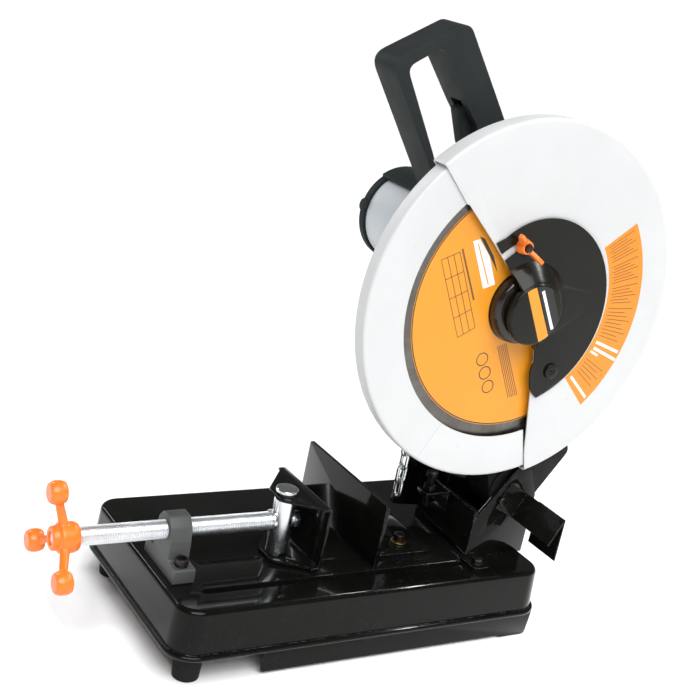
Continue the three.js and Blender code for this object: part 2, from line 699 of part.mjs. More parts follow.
// The end cap has a lip that runs forward over the motor to the foot of the handle.
const CAP = { back: -108, radius: 50.5, saddle: 54 };
function makeEndCap() {
  const { back, radius, saddle } = CAP;
  const edge = MOTOR_TUBE.back - GAP;
  const dome = join(
    rod('X', MOTOR_AXIS, radius - 7, back, back + 4, 32, radius - 2),
    rod('X', MOTOR_AXIS, radius - 2, back + 4, back + 6, 32, radius),
    rod('X', MOTOR_AXIS, radius, back + 6, edge, 32),
  );
  const lip = slab('X', sector(saddle, MOTOR_TUBE.radius + GAP, 62, 128, 14, MOTOR_AXIS),
    edge - 8, -9);
  const seat = rod('X', MOTOR_AXIS, 12 + GAP, back + 6, edge + 1, 28);
  const vents = [];
  for (let k = -2; k <= 2; k += 1) {
    vents.push(box(back - 1, back + 2.5, MOTOR.y - 24 + 4 * Math.abs(k),
      MOTOR.y + 24 - 4 * Math.abs(k), MOTOR.z + 11 * k - 2, MOTOR.z + 11 * k + 2));
  }
  return cut(join(dome, lip), seat, ...vents);
}
piece(head, 'motor_end_cap', makeEndCap(), 'blackPlastic');
for (const [name, angle] of [['brush_cap_rear', -10], ['brush_cap_front', 170]]) {
  const turn = new THREE.Matrix4().makeRotationX(angle * RAD);
  const cap = new THREE.CylinderGeometry(7, 7, 0.8, 20);
  cap.translate(0, CAP.radius + GAP + 0.4, 0);
  cap.applyMatrix4(turn);
  cap.translate(-97, MOTOR.y, MOTOR.z);
  piece(head, name, toSolid(cap), 'blackPlastic');
}
piece(head, 'cord_gland', join(
  rod('Y', [MOTOR.z - 20, -60], 8, MOTOR.y + 45.2, MOTOR.y + 52, 20),
  rod('Y', [MOTOR.z - 20, -60], 6, MOTOR.y + 51, MOTOR.y + 66, 20, 4.5),
).subtract(rod('X', MOTOR_AXIS, MOTOR_TUBE.radius + GAP, -90, -20, 48)), 'rubber');

// Rotor, commutator, fan and pinion turn as one.
const PINION = { teeth: 9, module: 2 };
const WHEEL = { teeth: 49, module: 2 };
const meshAngle = Math.atan2(MOTOR.z, MOTOR.y) / RAD;
const pinionPhase = meshAngle + 180 + 180 / PINION.teeth;
function makeRotor() {
  const teeth = slab('X', gearShape(PINION.teeth, PINION.module, pinionPhase, 0.86), 38.5, 50);
  return join(
    rod('X', MOTOR_AXIS, 6, -100, 52, 20),
    teeth.translate([0, MOTOR.y, MOTOR.z]),
    rod('X', MOTOR_AXIS, 28, -62, -4, 32),
    rod('X', MOTOR_AXIS, 15, -84, -68, 24),
    rod('X', MOTOR_AXIS, 36, 4, 12, 32, 30),
  );
}
piece(head, 'rotor', makeRotor(), 'steel');
piece(head, 'rotor_bearing',
  tube('X', MOTOR_AXIS, 12, 6 + GAP, -100, -92.6, 24), 'steel');

// ---------------------------------------------------------------- spindle and blade

piece(head, 'spindle_gear', cut(
  slab('X', gearShape(WHEEL.teeth, WHEEL.module, meshAngle, 0.86), 38, 50.5),
  rod('X', GEAR_AXIS, 12.5 + GAP, 30, 60, 28),
), 'steel');
piece(head, 'spindle', cut(
  rod('X', GEAR_AXIS, 12.5, 25.5, 80, 28),
  rod('X', GEAR_AXIS, 5 + GAP, 55, 90, 20),
), 'steel');
piece(head, 'bearing_rear',
  tube('X', GEAR_AXIS, BEARING.outer, BEARING.inner + GAP, 26, 34, 28), 'steel');
piece(head, 'bearing_front',
  tube('X', GEAR_AXIS, BEARING.outer, BEARING.inner + GAP, 60, 68, 28), 'steel');

const FLANGE = { radius: 38, front: 98, seat: 91 };
const plateBack = BLADE.x - BLADE.plate / 2;
const plateFront = BLADE.x + BLADE.plate / 2;
piece(head, 'inner_flange', cut(
  join(
    rod('X', GEAR_AXIS, FLANGE.radius - 2, 76.5, plateBack - GAP, 36, FLANGE.radius),
    rod('X', GEAR_AXIS, BLADE.bore - GAP, plateBack - 1, plateFront, 28),
  ),
  rod('X', GEAR_AXIS, 12.5 + GAP, 70, 80 + GAP, 28),
  rod('X', GEAR_AXIS, 5 + GAP, 70, 90, 20),
), 'steel');

// Hooked teeth that face the way the blade turns: down at the front, counting angles upward.
function bladeShape() {
  const { radius, teeth } = BLADE;
  const step = 360 / teeth;
  const profile = [[0, 0], [0.06, -6], [0.2, -9.4], [0.42, -8.6], [0.68, -3]];
  const shape = new THREE.Shape();
  for (let k = 0; k < teeth; k += 1) {
    profile.forEach(([along, down], i) => {
      const angle = (k + along) * step * RAD;
      const r = radius + down;
      if (k === 0 && i === 0) shape.moveTo(r * Math.cos(angle), r * Math.sin(angle));
      else shape.lineTo(r * Math.cos(angle), r * Math.sin(angle));
    });
  }
  return shape;
}

piece(head, 'blade', cut(
  slab('X', bladeShape(), plateBack, plateFront),
  rod('X', GEAR_AXIS, BLADE.bore, plateBack - 1, plateFront + 1, 32),
), 'bladeSteel');

// A deep cup that stands out from the blade into the cover's dome.
piece(head, 'outer_flange', cut(
  join(
    rod('X', GEAR_AXIS, FLANGE.radius, plateFront + GAP, 92, 40),
    rod('X', GEAR_AXIS, FLANGE.radius, 91.9, 96, 40, FLANGE.radius - 2.5),
    rod('X', GEAR_AXIS, FLANGE.radius - 2.5, 95.9, FLANGE.front, 40, FLANGE.radius - 8),
  ),
  rod('X', GEAR_AXIS, 22, FLANGE.seat, FLANGE.front + 1, 32),
  rod('X', GEAR_AXIS, 5 + GAP, 80, FLANGE.front, 20),
), 'castBlack');
piece(head, 'arbor_bolt', join(
  rod('X', GEAR_AXIS, 5, 58, FLANGE.seat + 1, 16),
  rod('X', GEAR_AXIS, 9.2, FLANGE.seat + GAP, FLANGE.seat + 6, 6),
), 'zinc');

// ---------------------------------------------------------------- guards

// The open edge of the arbor cover and the upper guard's face, from the top down.
const edgeStart = [-97.6, 101.7];
const edgeTop = [-56, 64];
const COVER_NECK = [[-29.7, 37.5], [0, -20], [16, -37], [26, -45], [29, -57], [27, -69], [32, -87]];
const edgeLow = [37, -95];
const GUARD_FOOT = [54, -187];

function makeUpperGuard() {
  const { radius, sheet, front, back, from, to } = GUARD;
  const pan = slab('X', sector(radius, 30, from, to, 56), back, front);
  const hollow = rod('X', GEAR_AXIS, radius - sheet, back + sheet, front - sheet, 96);
  const opening = rod('X', GEAR_AXIS, 50, front - sheet - 1, front + 1, 48);
  const nose = rod('X', GEAR_AXIS, NOSE.radius + GAP, back - 1, back + 3, 40);
  const beyondEdge = slab('X', rounded([
    [-40, -60], [32, -60], edgeLow, GUARD_FOOT, [GUARD_FOOT[0], -210], [-40, -210],
  ]), back - 1, front + 1);
  // the face stops just short of the cover's own open edge
  const openFace = slab('X', rounded([
    edgeStart, edgeTop, ...COVER_NECK.map(([y, z]) => [y + 1, z + 0.5]), edgeLow,
    [-120, edgeLow[1]], [-120, edgeStart[1]],
  ]), front - sheet - 1, front + 1);
  return cut(pan, hollow, opening, nose, beyondEdge, openFace, ...guardHoles());
}

const STUD = { y: -24.5, z: 66 };
const SHOULDER = { y: 54, z: -67.5 };
function guardHoles() {
  return [
    rod('X', [STUD.y, STUD.z], 4 + GAP, GUARD.front - 3, GUARD.front + 1, 16),
    rod('X', [SHOULDER.y, SHOULDER.z], 4 + GAP, GUARD.front - 3, GUARD.front + 1, 16),
  ];
}
piece(head, 'upper_guard', makeUpperGuard(), 'guard');

// The retracting guard turns about the gearbox nose and nests inside the upper guard.
function makeRingGuard() {
  const { radius, sheet, front, back, inner, from, to } = RING;
  const band = slab('X', sector(radius, radius - sheet, from, to, 30), back, front);
  const face = slab('X', sector(radius, inner, from, to, 30), front - sheet, front);
  const rear = slab('X', sector(radius, 60, from, to, 30), back, back + sheet);
  const hub = tube('X', GEAR_AXIS, 62, NOSE.radius + GAP + 0.4, back, back + sheet, 32);
  return join(band, face, rear, hub);
}
piece(head, 'retracting_guard', makeRingGuard(), 'guard');

// The black arbor cover swings aside on its shoulder screw once the wing nut is slack.
const COVER = { back: 92.1, sheet: 1.6, radius: 107, domeTop: 112, boss: 30 };

function coverOutline() {
  const shape = new THREE.Shape();
  const steps = 22;
  const start = -66;
  const end = 122;
  shape.moveTo(edgeLow[0], edgeLow[1] + 2);
  for (let k = 0; k <= steps; k += 1) {
    const t = k / steps;
    const angle = (start + (end - start) * t) * RAD;
    const r = COVER.radius - 22 * t ** 3;
    shape.lineTo(r * Math.cos(angle), r * Math.sin(angle));
  }
  shape.lineTo(edgeTop[0], edgeTop[1] + 2);
  for (const [y, z] of COVER_NECK) shape.lineTo(y, z);
  return shape;
}

function makeCover() {
  const { back, sheet, domeTop, boss } = COVER;
  const face = back + sheet;
  const plate = slab('X', coverOutline(), back, face);
  const keep = slab('X', rounded([
    ...COVER_NECK.slice(0, 4).reverse(), edgeTop, [edgeTop[0], 160], [160, 160], [160, COVER_NECK[3][1]],
  ]), back - 2, domeTop + 2);
  const cone = join(
    rod('X', GEAR_AXIS, 50, face - 0.5, face + 5, 32, 46),
    rod('X', GEAR_AXIS, 46, face + 5, domeTop - 3.3, 32, 34),
  ).intersect(keep);
  const overhang = join(
    rod('X', GEAR_AXIS, boss, domeTop - 10, domeTop - 2.9, 32, boss + 3),
    rod('X', GEAR_AXIS, boss + 3, domeTop - 3, domeTop, 32, boss),
  );
  const bowl = join(
    rod('X', GEAR_AXIS, 47, back - 1, face + 4.5, 32, 43.5),
    rod('X', GEAR_AXIS, 43.5, face + 4.5, domeTop - 2.4, 32, 26),
  ).intersect(keep.translate([0, -0.4, -0.2]));
  const slotRadius = Math.hypot(STUD.y - SHOULDER.y, STUD.z - SHOULDER.z);
  const studAngle = Math.atan2(STUD.z - SHOULDER.z, STUD.y - SHOULDER.y) / RAD;
  const slot = slab('X', sector(slotRadius + 4.6, slotRadius - 4.6, studAngle - 1.9,
    studAngle + 16, 10, [SHOULDER.y, SHOULDER.z]), back - 1, face + 1);
  return cut(
    join(plate, cone, overhang),
    bowl,
    slot,
    rod('X', [SHOULDER.y, SHOULDER.z], 4 + GAP, back - 1, face + 1, 16),
  );
}
piece(head, 'arbor_cover', makeCover(), 'blackPlastic');

const coverFace = COVER.back + COVER.sheet;
piece(head, 'cover_pivot_screw', join(
  rod('X', [SHOULDER.y, SHOULDER.z], 4, 88, coverFace + 1, 16),
  rod('X', [SHOULDER.y, SHOULDER.z], 8.5, coverFace + GAP, coverFace + 4, 24, 7),
), 'castBlack');
piece(head, 'cover_stud',
  rod('X', [STUD.y, STUD.z], 4, 86.5, coverFace + 13, 16), 'zinc');

function makeWingNut() {
  const centre = [STUD.y, STUD.z];
  const from = coverFace + GAP;
  let nut = join(
    rod('X', centre, 8.5, from, from + 3, 24, 7.5),
    rod('X', centre, 7.5, from + 3, from + 10, 24, 6),
  );
  const wing = rounded([[2, 2], [10, 4, 3], [23, 13, 4], [21, 20, 4], [14, 17, 4], [2, 9]], 4);
  for (const side of [0, 180]) {
    const blade = new THREE.ExtrudeGeometry(wing, { depth: 4, bevelEnabled: false });
    blade.translate(0, 0, -2);
    // local x runs out along the wing, local y runs out along the stud
    blade.applyMatrix4(new THREE.Matrix4().set(0, 1, 0, 0, 1, 0, 0, 0, 0, 0, -1, 0, 0, 0, 0, 1));
    blade.rotateX((-38 + side) * RAD);
    blade.translate(from - 1, STUD.y, STUD.z);
    nut = nut.add(toSolid(blade).translate([1.2, 0, 0]));
  }
  return cut(nut, rod('X', centre, 4 + GAP, from - 1, from + 30, 16));
}
piece(head, 'wing_nut', makeWingNut(), 'orange');

// ---------------------------------------------------------------- handle

const GRIP = { near: 30, far: -8 };
const gripMid = (GRIP.near + GRIP.far) / 2;
const loopOutline = rounded([
  [-176, 216, 13], [-97.5, 263, 11], [-8, 147, 10], [8, 100, 14], [-20, 58], [-74, 68, 6],
  [-88, 94, 8],
], 5);
const windowOutline = rounded([
  [-157, 213, 9], [-122, 236, 7], [-77, 183], [-63, 168, 3], [-47, 131, 8], [-58, 108, 8],
  [-90, 108, 8],
], 4);
// The switch pocket behind the trigger, open to the window.
const pocketOutline = rounded([[-90, 183], [-66, 196], [-19, 143], [-33, 120], [-60, 126]]);

function makeHandleHalf(from, to) {
  const loop = slab('X', loopOutline, from, to);
  const pocket = slab('X', pocketOutline, gripMid - 9, gripMid + 9);
  return cut(
    loop,
    slab('X', windowOutline, from - 1, to + 1),
    pocket,
    rod('X', MOTOR_AXIS, HOUSING.motorRadius + GAP, from - 1, to + 1, 44),
    rod('X', GEAR_AXIS, HOUSING.radius + GAP, from - 1, to + 1, 44),
    rod('X', [-101, 229], 2.4, gripMid - 12, gripMid + 12, 12),
  );
}
piece(head, 'handle_half_right', makeHandleHalf(gripMid + GAP / 2, GRIP.near), 'blackPlastic');
piece(head, 'handle_half_left', makeHandleHalf(GRIP.far, gripMid - GAP / 2), 'blackPlastic');

// The trigger turns about its lower end.
const triggerOutline = rounded([
  [-80, 178, 3], [-73, 184, 3], [-62, 171], [-38, 139, 3], [-41, 126, 4], [-52, 128, 4],
  [-66, 146, 10],
], 4);
piece(head, 'trigger', slab('X', triggerOutline, gripMid - 8, gripMid + 8), 'blackPlastic');

// ---------------------------------------------------------------- origin

saw.updateMatrixWorld(true);
const bounds = new THREE.Box3().setFromObject(saw);
const middle = bounds.getCenter(new THREE.Vector3());
saw.position.set(-middle.x, -middle.y, -bounds.min.z);
saw.updateMatrixWorld(true);

export default saw;
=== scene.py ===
# Metal-cutting chop saw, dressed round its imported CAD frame.
# Millimetre drawing coordinates are turned into the row frame in metres by the helpers below.

import json
import math

import bmesh
import bpy
from mathutils import Matrix, Vector


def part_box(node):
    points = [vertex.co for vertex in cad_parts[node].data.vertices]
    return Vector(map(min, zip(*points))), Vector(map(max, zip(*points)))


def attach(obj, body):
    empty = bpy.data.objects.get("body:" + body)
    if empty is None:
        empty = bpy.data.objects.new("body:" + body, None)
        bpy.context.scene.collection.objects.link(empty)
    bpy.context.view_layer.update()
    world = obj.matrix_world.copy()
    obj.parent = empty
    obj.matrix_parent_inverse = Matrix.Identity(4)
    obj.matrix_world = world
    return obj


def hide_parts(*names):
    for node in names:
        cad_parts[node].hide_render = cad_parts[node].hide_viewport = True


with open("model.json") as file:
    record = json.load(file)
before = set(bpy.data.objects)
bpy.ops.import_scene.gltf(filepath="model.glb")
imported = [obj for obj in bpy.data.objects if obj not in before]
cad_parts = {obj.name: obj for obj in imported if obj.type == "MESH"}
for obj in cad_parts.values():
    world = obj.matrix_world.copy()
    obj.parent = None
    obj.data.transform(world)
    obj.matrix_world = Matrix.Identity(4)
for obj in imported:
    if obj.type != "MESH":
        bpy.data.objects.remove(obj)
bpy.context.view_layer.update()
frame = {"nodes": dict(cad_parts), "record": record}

MM = 0.001
RAD = math.pi / 180
record = frame["record"]
BODY_OF = {n: b for b, nodes in record["behaviour"]["bodies"].items() for n in nodes}
SLOT_OF = {s["node"]: s["material_slot"] for s in record["subparts"]}


def middle(node):
    low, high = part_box(node)
    return (low + high) / 2


ARBOR = middle("blade") / MM                      # spindle axis, head up
TABLE_LOW, TABLE_HIGH = (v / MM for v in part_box("table"))
STATION = Vector(((TABLE_LOW.x + TABLE_HIGH.x) / 2, ARBOR.y - 338.0, 0.0))      # the table's drawing origin
HEAD = Vector((STATION.x, ARBOR.y, ARBOR.z))      # the head's drawing origin

# ------ materials


WEAR_AND_SHEEN_REACH = 0.0009       # metres from an edge that is lightened, as rubbed wear and as a painted highlight
DUST = (0.35, 0.34, 0.32)


def set_range(node, low, high, to_low, to_high):
    for key, value in (("From Min", low), ("From Max", high), ("To Min", to_low), ("To Max", to_high)):
        node.inputs[key].default_value = value


class Nodes:
    """A small builder for node materials."""

    def __init__(self, name):
        self.mat = bpy.data.materials.new(name)
        self.mat.use_nodes = True
        self.tree = self.mat.node_tree
        self.tree.nodes.clear()
        self.out = self.add("ShaderNodeOutputMaterial")
        self.bsdf = self.add("ShaderNodeBsdfPrincipled")
        self.link(self.bsdf.outputs[0], self.out.inputs[0])
        self.coord = self.add("ShaderNodeTexCoord").outputs["Object"]

    def add(self, kind, **values):
        node = self.tree.nodes.new(kind)
        for key, value in values.items():
            setattr(node, key, value)
        return node

    def link(self, a, b):
        self.tree.links.new(a, b)

    def set(self, **values):
        for key, value in values.items():
            self.bsdf.inputs[key.replace("_", " ")].default_value = value

    def noise(self, scale, detail=4.0, rough=0.55, stretch=None, seed=0.0):
        mapping = self.add("ShaderNodeMapping")
        mapping.inputs["Location"].default_value = (seed, seed * 1.7, seed * 0.3)
        if stretch:
            mapping.inputs["Scale"].default_value = stretch
        self.link(self.coord, mapping.inputs[0])
        node = self.add("ShaderNodeTexNoise")
        node.inputs["Scale"].default_value = scale
        node.inputs["Detail"].default_value = detail
        node.inputs["Roughness"].default_value = rough
        self.link(mapping.outputs[0], node.inputs["Vector"])
        return node.outputs["Fac"]

    def span(self, fac, low, high, to_low, to_high):
        node = self.add("ShaderNodeMapRange")
        set_range(node, low, high, to_low, to_high)
        self.link(fac, node.inputs["Value"])
        return node.outputs["Result"]

    def gloss(self, fac, rough, spread):
        self.link(self.span(fac, 0.3, 0.7, rough - spread, rough + spread), self.bsdf.inputs["Roughness"])

    def mottled(self, fac, colour, amount):
        dark = tuple(c * (1 - amount) for c in colour)
        light = tuple(min(1.0, c * (1 + amount)) for c in colour)
        return self.mix(self.span(fac, 0.3, 0.7, 0.0, 1.0), dark, light)

    def mix(self, fac, a, b):
        node = self.add("ShaderNodeMix", data_type="RGBA")
        for socket, value in ((node.inputs[0], fac), (node.inputs[6], a), (node.inputs[7], b)):
            if isinstance(value, (tuple, list)):
                socket.default_value = (*value[:3], 1.0)
            elif isinstance(value, float):
                socket.default_value = value
            else:
                self.link(value, socket)
        return node.outputs[2]

    def times(self, a, b):
        """The product of a socket and a socket or number."""
        node = self.add("ShaderNodeMath", operation="MULTIPLY")
        self.link(a, node.inputs[0])
        if isinstance(b, float):
            node.inputs[1].default_value = b
        else:
            self.link(b, node.inputs[1])
        return node.outputs[0]

    def bump(self, *layers):
        """Each layer is (height, distance in metres, strength)."""
        normal = None
        for height, distance, strength in layers:
            node = self.add("ShaderNodeBump")
            node.inputs["Distance"].default_value = distance
            node.inputs["Strength"].default_value = strength
            self.link(height, node.inputs["Height"])
            if normal is not None:
                self.link(normal, node.inputs["Normal"])
            normal = node.outputs[0]
        self.link(normal, self.bsdf.inputs["Normal"])

    def edges(self):
        """0 on flats, 1 at an edge."""
        geometry = self.add("ShaderNodeNewGeometry")
        rounded = self.add("ShaderNodeBevel", samples=4)
        rounded.inputs["Radius"].default_value = WEAR_AND_SHEEN_REACH
        dot = self.add("ShaderNodeVectorMath", operation="DOT_PRODUCT")
        self.link(geometry.outputs["Normal"], dot.inputs[0])
        self.link(rounded.outputs[0], dot.inputs[1])
        return self.span(dot.outputs["Value"], 0.97, 0.86, 0.0, 1.0)


def paint(name, colour, rough, spread=0.08, mottle=0.12, peel=0.25, peel_scale=900.0,
          wear_and_sheen_colour=None, wear_and_sheen=0.0, coat=0.0, dust=0.0, shine=0.5):
    """Sprayed or powder-coated metal: orange peel, uneven gloss, edges lightened as rubbed wear and as a
    painted highlight, a little dust.
    """
    n = Nodes(name)
    cloud = n.noise(14.0, 5.0, 0.6)
    fine = n.noise(peel_scale, 2.0, 0.5, seed=3.0)
    base = n.mottled(cloud, colour, mottle)
    if dust:
        specks = n.noise(160.0, 6.0, 0.7, seed=7.0)
        base = n.mix(n.span(specks, 0.56, 0.8, 0.0, dust), base, DUST)
    # edges get a lighter colour: partly rubbed wear, partly a painted highlight on the rounded edges
    if wear_and_sheen_colour:
        edge_breakup = n.noise(220.0, 5.0, 0.7, seed=11.0)
        edge_wear_and_sheen = n.times(n.edges(), n.span(edge_breakup, 0.45, 0.62, 0.0, wear_and_sheen))
        base = n.mix(edge_wear_and_sheen, base, wear_and_sheen_colour)
    n.link(base, n.bsdf.inputs["Base Color"])
    n.gloss(n.noise(38.0, 6.0, 0.65, seed=5.0), rough, spread)
    n.bump((fine, 0.00006, peel), (n.noise(70.0, 3.0, seed=9.0), 0.0002, 0.12))
    n.set(Specular_IOR_Level=shine)
    if coat:
        n.set(Coat_Weight=coat, Coat_Roughness=0.06, Coat_IOR=1.2)
    return n.mat


def metal(name, colour, rough, stretch=(1.0, 1.0, 1.0), grain=0.25, spread=0.1, tint=None):
    """Bare or plated metal: brushed grain, faint tarnish and uneven polish."""
    n = Nodes(name)
    cloud = n.noise(45.0, 5.0, 0.6)
    other = tint or tuple(c * 0.72 for c in colour)
    n.link(n.mix(n.span(cloud, 0.35, 0.72, 0.0, 1.0), colour, other), n.bsdf.inputs["Base Color"])
    lines = n.noise(240.0, 4.0, 0.6, stretch=stretch, seed=2.0)
    n.gloss(lines, rough, spread)
    n.bump((lines, 0.00004, grain), (n.noise(900.0, 2.0, seed=4.0), 0.00003, 0.05))
    n.set(Metallic=1.0)
    return n.mat


def moulded(name, colour, rough, grain=0.5, scale=1500.0, wear_and_sheen_colour=None, shine=0.5):
    """Moulded plastic or rubber: spark-eroded grain, slight sink marks, polished high spots."""
    n = Nodes(name)
    cloud = n.noise(20.0, 4.0, 0.6)
    base = n.mottled(cloud, colour, 0.1)
    # edges get a lighter colour: partly wear, partly a painted highlight on the rounded edges
    if wear_and_sheen_colour:
        base = n.mix(n.times(n.edges(), 0.6), base, wear_and_sheen_colour)
    n.link(base, n.bsdf.inputs["Base Color"])
    n.gloss(n.noise(50.0, 5.0, 0.6, seed=5.0), rough, 0.06)
    grit = n.noise(scale, 3.0, 0.6, seed=8.0)
    n.bump((grit, 0.00008, grain), (n.noise(34.0, 3.0, seed=6.0), 0.0003, 0.1))
    n.set(Specular_IOR_Level=shine)
    return n.mat


def make_materials():
    gloss = dict(peel=0.1, mottle=0.03)           # printed film
    ink = dict(peel=0.1, mottle=0.1)
    return {
        # the table's pale bluish edge colour is mostly a painted highlight along its rounded edges and bead,
        # partly wear
        "table_paint": paint("gloss_black_paint", (0.0040, 0.0044, 0.0037), 0.15, spread=0.05, mottle=0.3,
                             peel=0.10, wear_and_sheen_colour=(0.22, 0.25, 0.27), wear_and_sheen=0.6, coat=1.0, dust=0.02, shine=0.04),
        "guard_paint": paint("guard_white_paint", (0.57, 0.58, 0.585), 0.34, spread=0.07, mottle=0.025,
                             peel=0.3, wear_and_sheen_colour=(0.6, 0.61, 0.62), wear_and_sheen=0.5),
        "block_paint": paint("cast_grey_paint", (0.052, 0.056, 0.055), 0.52, mottle=0.2, peel=0.9,
                             peel_scale=420.0, wear_and_sheen_colour=(0.3, 0.3, 0.3), wear_and_sheen=0.6),
        "cast_black": paint("cast_black_paint", (0.006, 0.006, 0.006), 0.45, mottle=0.25, peel=0.7,
                            peel_scale=500.0, wear_and_sheen_colour=(0.10, 0.10, 0.10), wear_and_sheen=0.3, shine=0.12),
        "orange_paint": paint("orange_powder_coat", (0.90, 0.19, 0.015), 0.33, mottle=0.08, peel=0.5,
                              peel_scale=600.0, wear_and_sheen_colour=(1.0, 0.42, 0.14), wear_and_sheen=0.5, coat=0.25),
        "motor_grey": paint("motor_grey_paint", (0.52, 0.56, 0.59), 0.42, mottle=0.05, peel=0.5,
                            wear_and_sheen_colour=(0.8, 0.82, 0.84), wear_and_sheen=0.4),
        "black_bolt": metal("black_oxide", (0.035, 0.035, 0.036), 0.38, tint=(0.07, 0.06, 0.05)),
        "zinc": metal("bright_zinc", (0.78, 0.80, 0.82), 0.24, grain=0.05, spread=0.03,
                      tint=(0.66, 0.69, 0.72)),
        "screw_zinc": metal("thread_zinc", (0.86, 0.88, 0.90), 0.36, stretch=(1.0, 0.15, 1.0), grain=0.05,
                            spread=0.04, tint=(0.74, 0.78, 0.82)),
        "steel": metal("machined_steel", (0.42, 0.42, 0.42), 0.33, stretch=(0.1, 1.0, 1.0)),
        "spring_steel": metal("oiled_spring_wire", (0.12, 0.12, 0.12), 0.36),
        "blade_steel": metal("ground_blade_steel", (0.17, 0.16, 0.145), 0.36, tint=(0.11, 0.10, 0.09)),
        "carbide": metal("carbide_tip", (0.5, 0.47, 0.4), 0.3),
        "bronze": metal("oiled_bronze", (0.5, 0.31, 0.13), 0.34),
        "rubber": moulded("black_rubber", (0.009, 0.0095, 0.009), 0.72, grain=0.7, scale=900.0,
                          wear_and_sheen_colour=(0.03, 0.03, 0.03), shine=0.15),
        "black_plastic": moulded("grained_black_nylon", (0.024, 0.028, 0.028), 0.46, grain=0.55,
                                 wear_and_sheen_colour=(0.055, 0.06, 0.06), shine=0.04),
        "cover_black": moulded("smooth_black_cover", (0.0085, 0.0084, 0.0062), 0.22, grain=0.08, shine=0.2),
        "gloss_black": moulded("gloss_black_flange", (0.012, 0.008, 0.006), 0.15, grain=0.04),
        "badge_black": moulded("badge_black_film", (0.006, 0.006, 0.006), 0.12, grain=0.03),
        "label_orange": paint("label_orange_print", (0.74, 0.28, 0.014), 0.36, **gloss),
        "sticker_orange": paint("sticker_orange_print", (0.74, 0.235, 0.010), 0.34, **gloss),
        "label_white": paint("label_white_print", (0.85, 0.85, 0.84), 0.4, **gloss),
        "label_black": paint("label_black_print", (0.03, 0.022, 0.015), 0.4, **ink),
        "label_brown": paint("label_brown_print", (0.19, 0.075, 0.012), 0.4, **ink),
        "seam_grey": paint("seam_shadow", (0.42, 0.43, 0.44), 0.5, **ink),
    }


MAT = make_materials()

# ------ mesh helpers


def mesh_object(name, bm, mat):
    """Links a bmesh, already in metres, as an object of the scene."""
    mesh = bpy.data.meshes.new(name)
    bm.to_mesh(mesh)
    bm.free()
    mesh.materials.append(mat)
    obj = bpy.data.objects.new(name, mesh)
    bpy.context.scene.collection.objects.link(obj)
    return obj


def new_object(name, bm, origin, mat):
    """Writes a bmesh drawn in millimetres round `origin` as an object in metres."""
    bmesh.ops.remove_doubles(bm, verts=bm.verts, dist=1e-4)
    for v in bm.verts:
        v.co = (v.co + origin) * MM
    bmesh.ops.recalc_face_normals(bm, faces=bm.faces)
    return mesh_object(name, bm, mat)


def discard(obj):
    """Removes an object and its mesh."""
    data = obj.data
    bpy.data.objects.remove(obj)
    bpy.data.meshes.remove(data)


def apply_modifiers(obj):
    """Bakes the modifiers into the mesh."""
    graph = bpy.context.evaluated_depsgraph_get()
    mesh = bpy.data.meshes.new_from_object(obj.evaluated_get(graph))
    obj.modifiers.clear()
    old = obj.data
    obj.data = mesh
    bpy.data.meshes.remove(old)


def smooth(obj, angle=32.0):
    """Smooth shading with crisp edges above an angle."""
    bm = bmesh.new()
    bm.from_mesh(obj.data)
    for f in bm.faces:
        f.smooth = True
    for e in bm.edges:
        sharp = len(e.link_faces) != 2 or e.calc_face_angle(0.0) > angle * RAD
        e.smooth = not sharp
    bm.to_mesh(obj.data)
    bm.free()


def bevel(obj, width, segments=3, angle=30.0):
    """Rounds the edges that are sharper than an angle."""
    mod = obj.modifiers.new("bevel", "BEVEL")
    mod.width = width * MM
    mod.segments = segments
    mod.limit_method = "ANGLE"
    mod.angle_limit = angle * RAD
    mod.use_clamp_overlap = True
    mod.harden_normals = False
    apply_modifiers(obj)


def boolean(obj, tool, operation="DIFFERENCE"):
    """Cuts, joins or crosses a piece with a tool, which is used up."""
    mod = obj.modifiers.new("cut", "BOOLEAN")
    mod.operation = operation
    mod.object = tool
    mod.solver = "EXACT"
    apply_modifiers(obj)
    discard(tool)


def fuse(obj, voxel, rounds):
    """Melts overlapping shapes into one skin with soft fillets."""
    mod = obj.modifiers.new("remesh", "REMESH")
    mod.mode = "VOXEL"
    mod.voxel_size = voxel * MM
    relax = obj.modifiers.new("relax", "SMOOTH")
    relax.factor = 0.5
    relax.iterations = rounds
    apply_modifiers(obj)


def place(obj, node=None, body=None, slot=None):
    """Rides the piece on its body and hides the solid it stands for. The slot is not used."""
    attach(obj, body or BODY_OF[node])
    if node:
        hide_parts(node)


def remake(node, mat, width):
    """The CAD node's own shape with its flats merged and its edges rounded."""
    bm = bmesh.new()
    bm.from_mesh(frame["nodes"][node].data)
    bmesh.ops.remove_doubles(bm, verts=bm.verts, dist=2e-6)
    bmesh.ops.dissolve_limit(bm, angle_limit=0.6 * RAD, verts=bm.verts, edges=bm.edges)
    for v in bm.verts:
        v.co /= MM
    obj = new_object(node + "_look", bm, Vector(), mat)
    if width:
        bevel(obj, width, 3 if width > 1 else 2, 25.0)
    smooth(obj)
    place(obj, node)


def axis_point(axis, along, u, v):
    """u, v are (y, z) for X, (z, x) for Y and (x, y) for Z."""
    if axis == "X":
        return Vector((along, u, v))
    if axis == "Y":
        return Vector((v, along, u))
    return Vector((u, v, along))


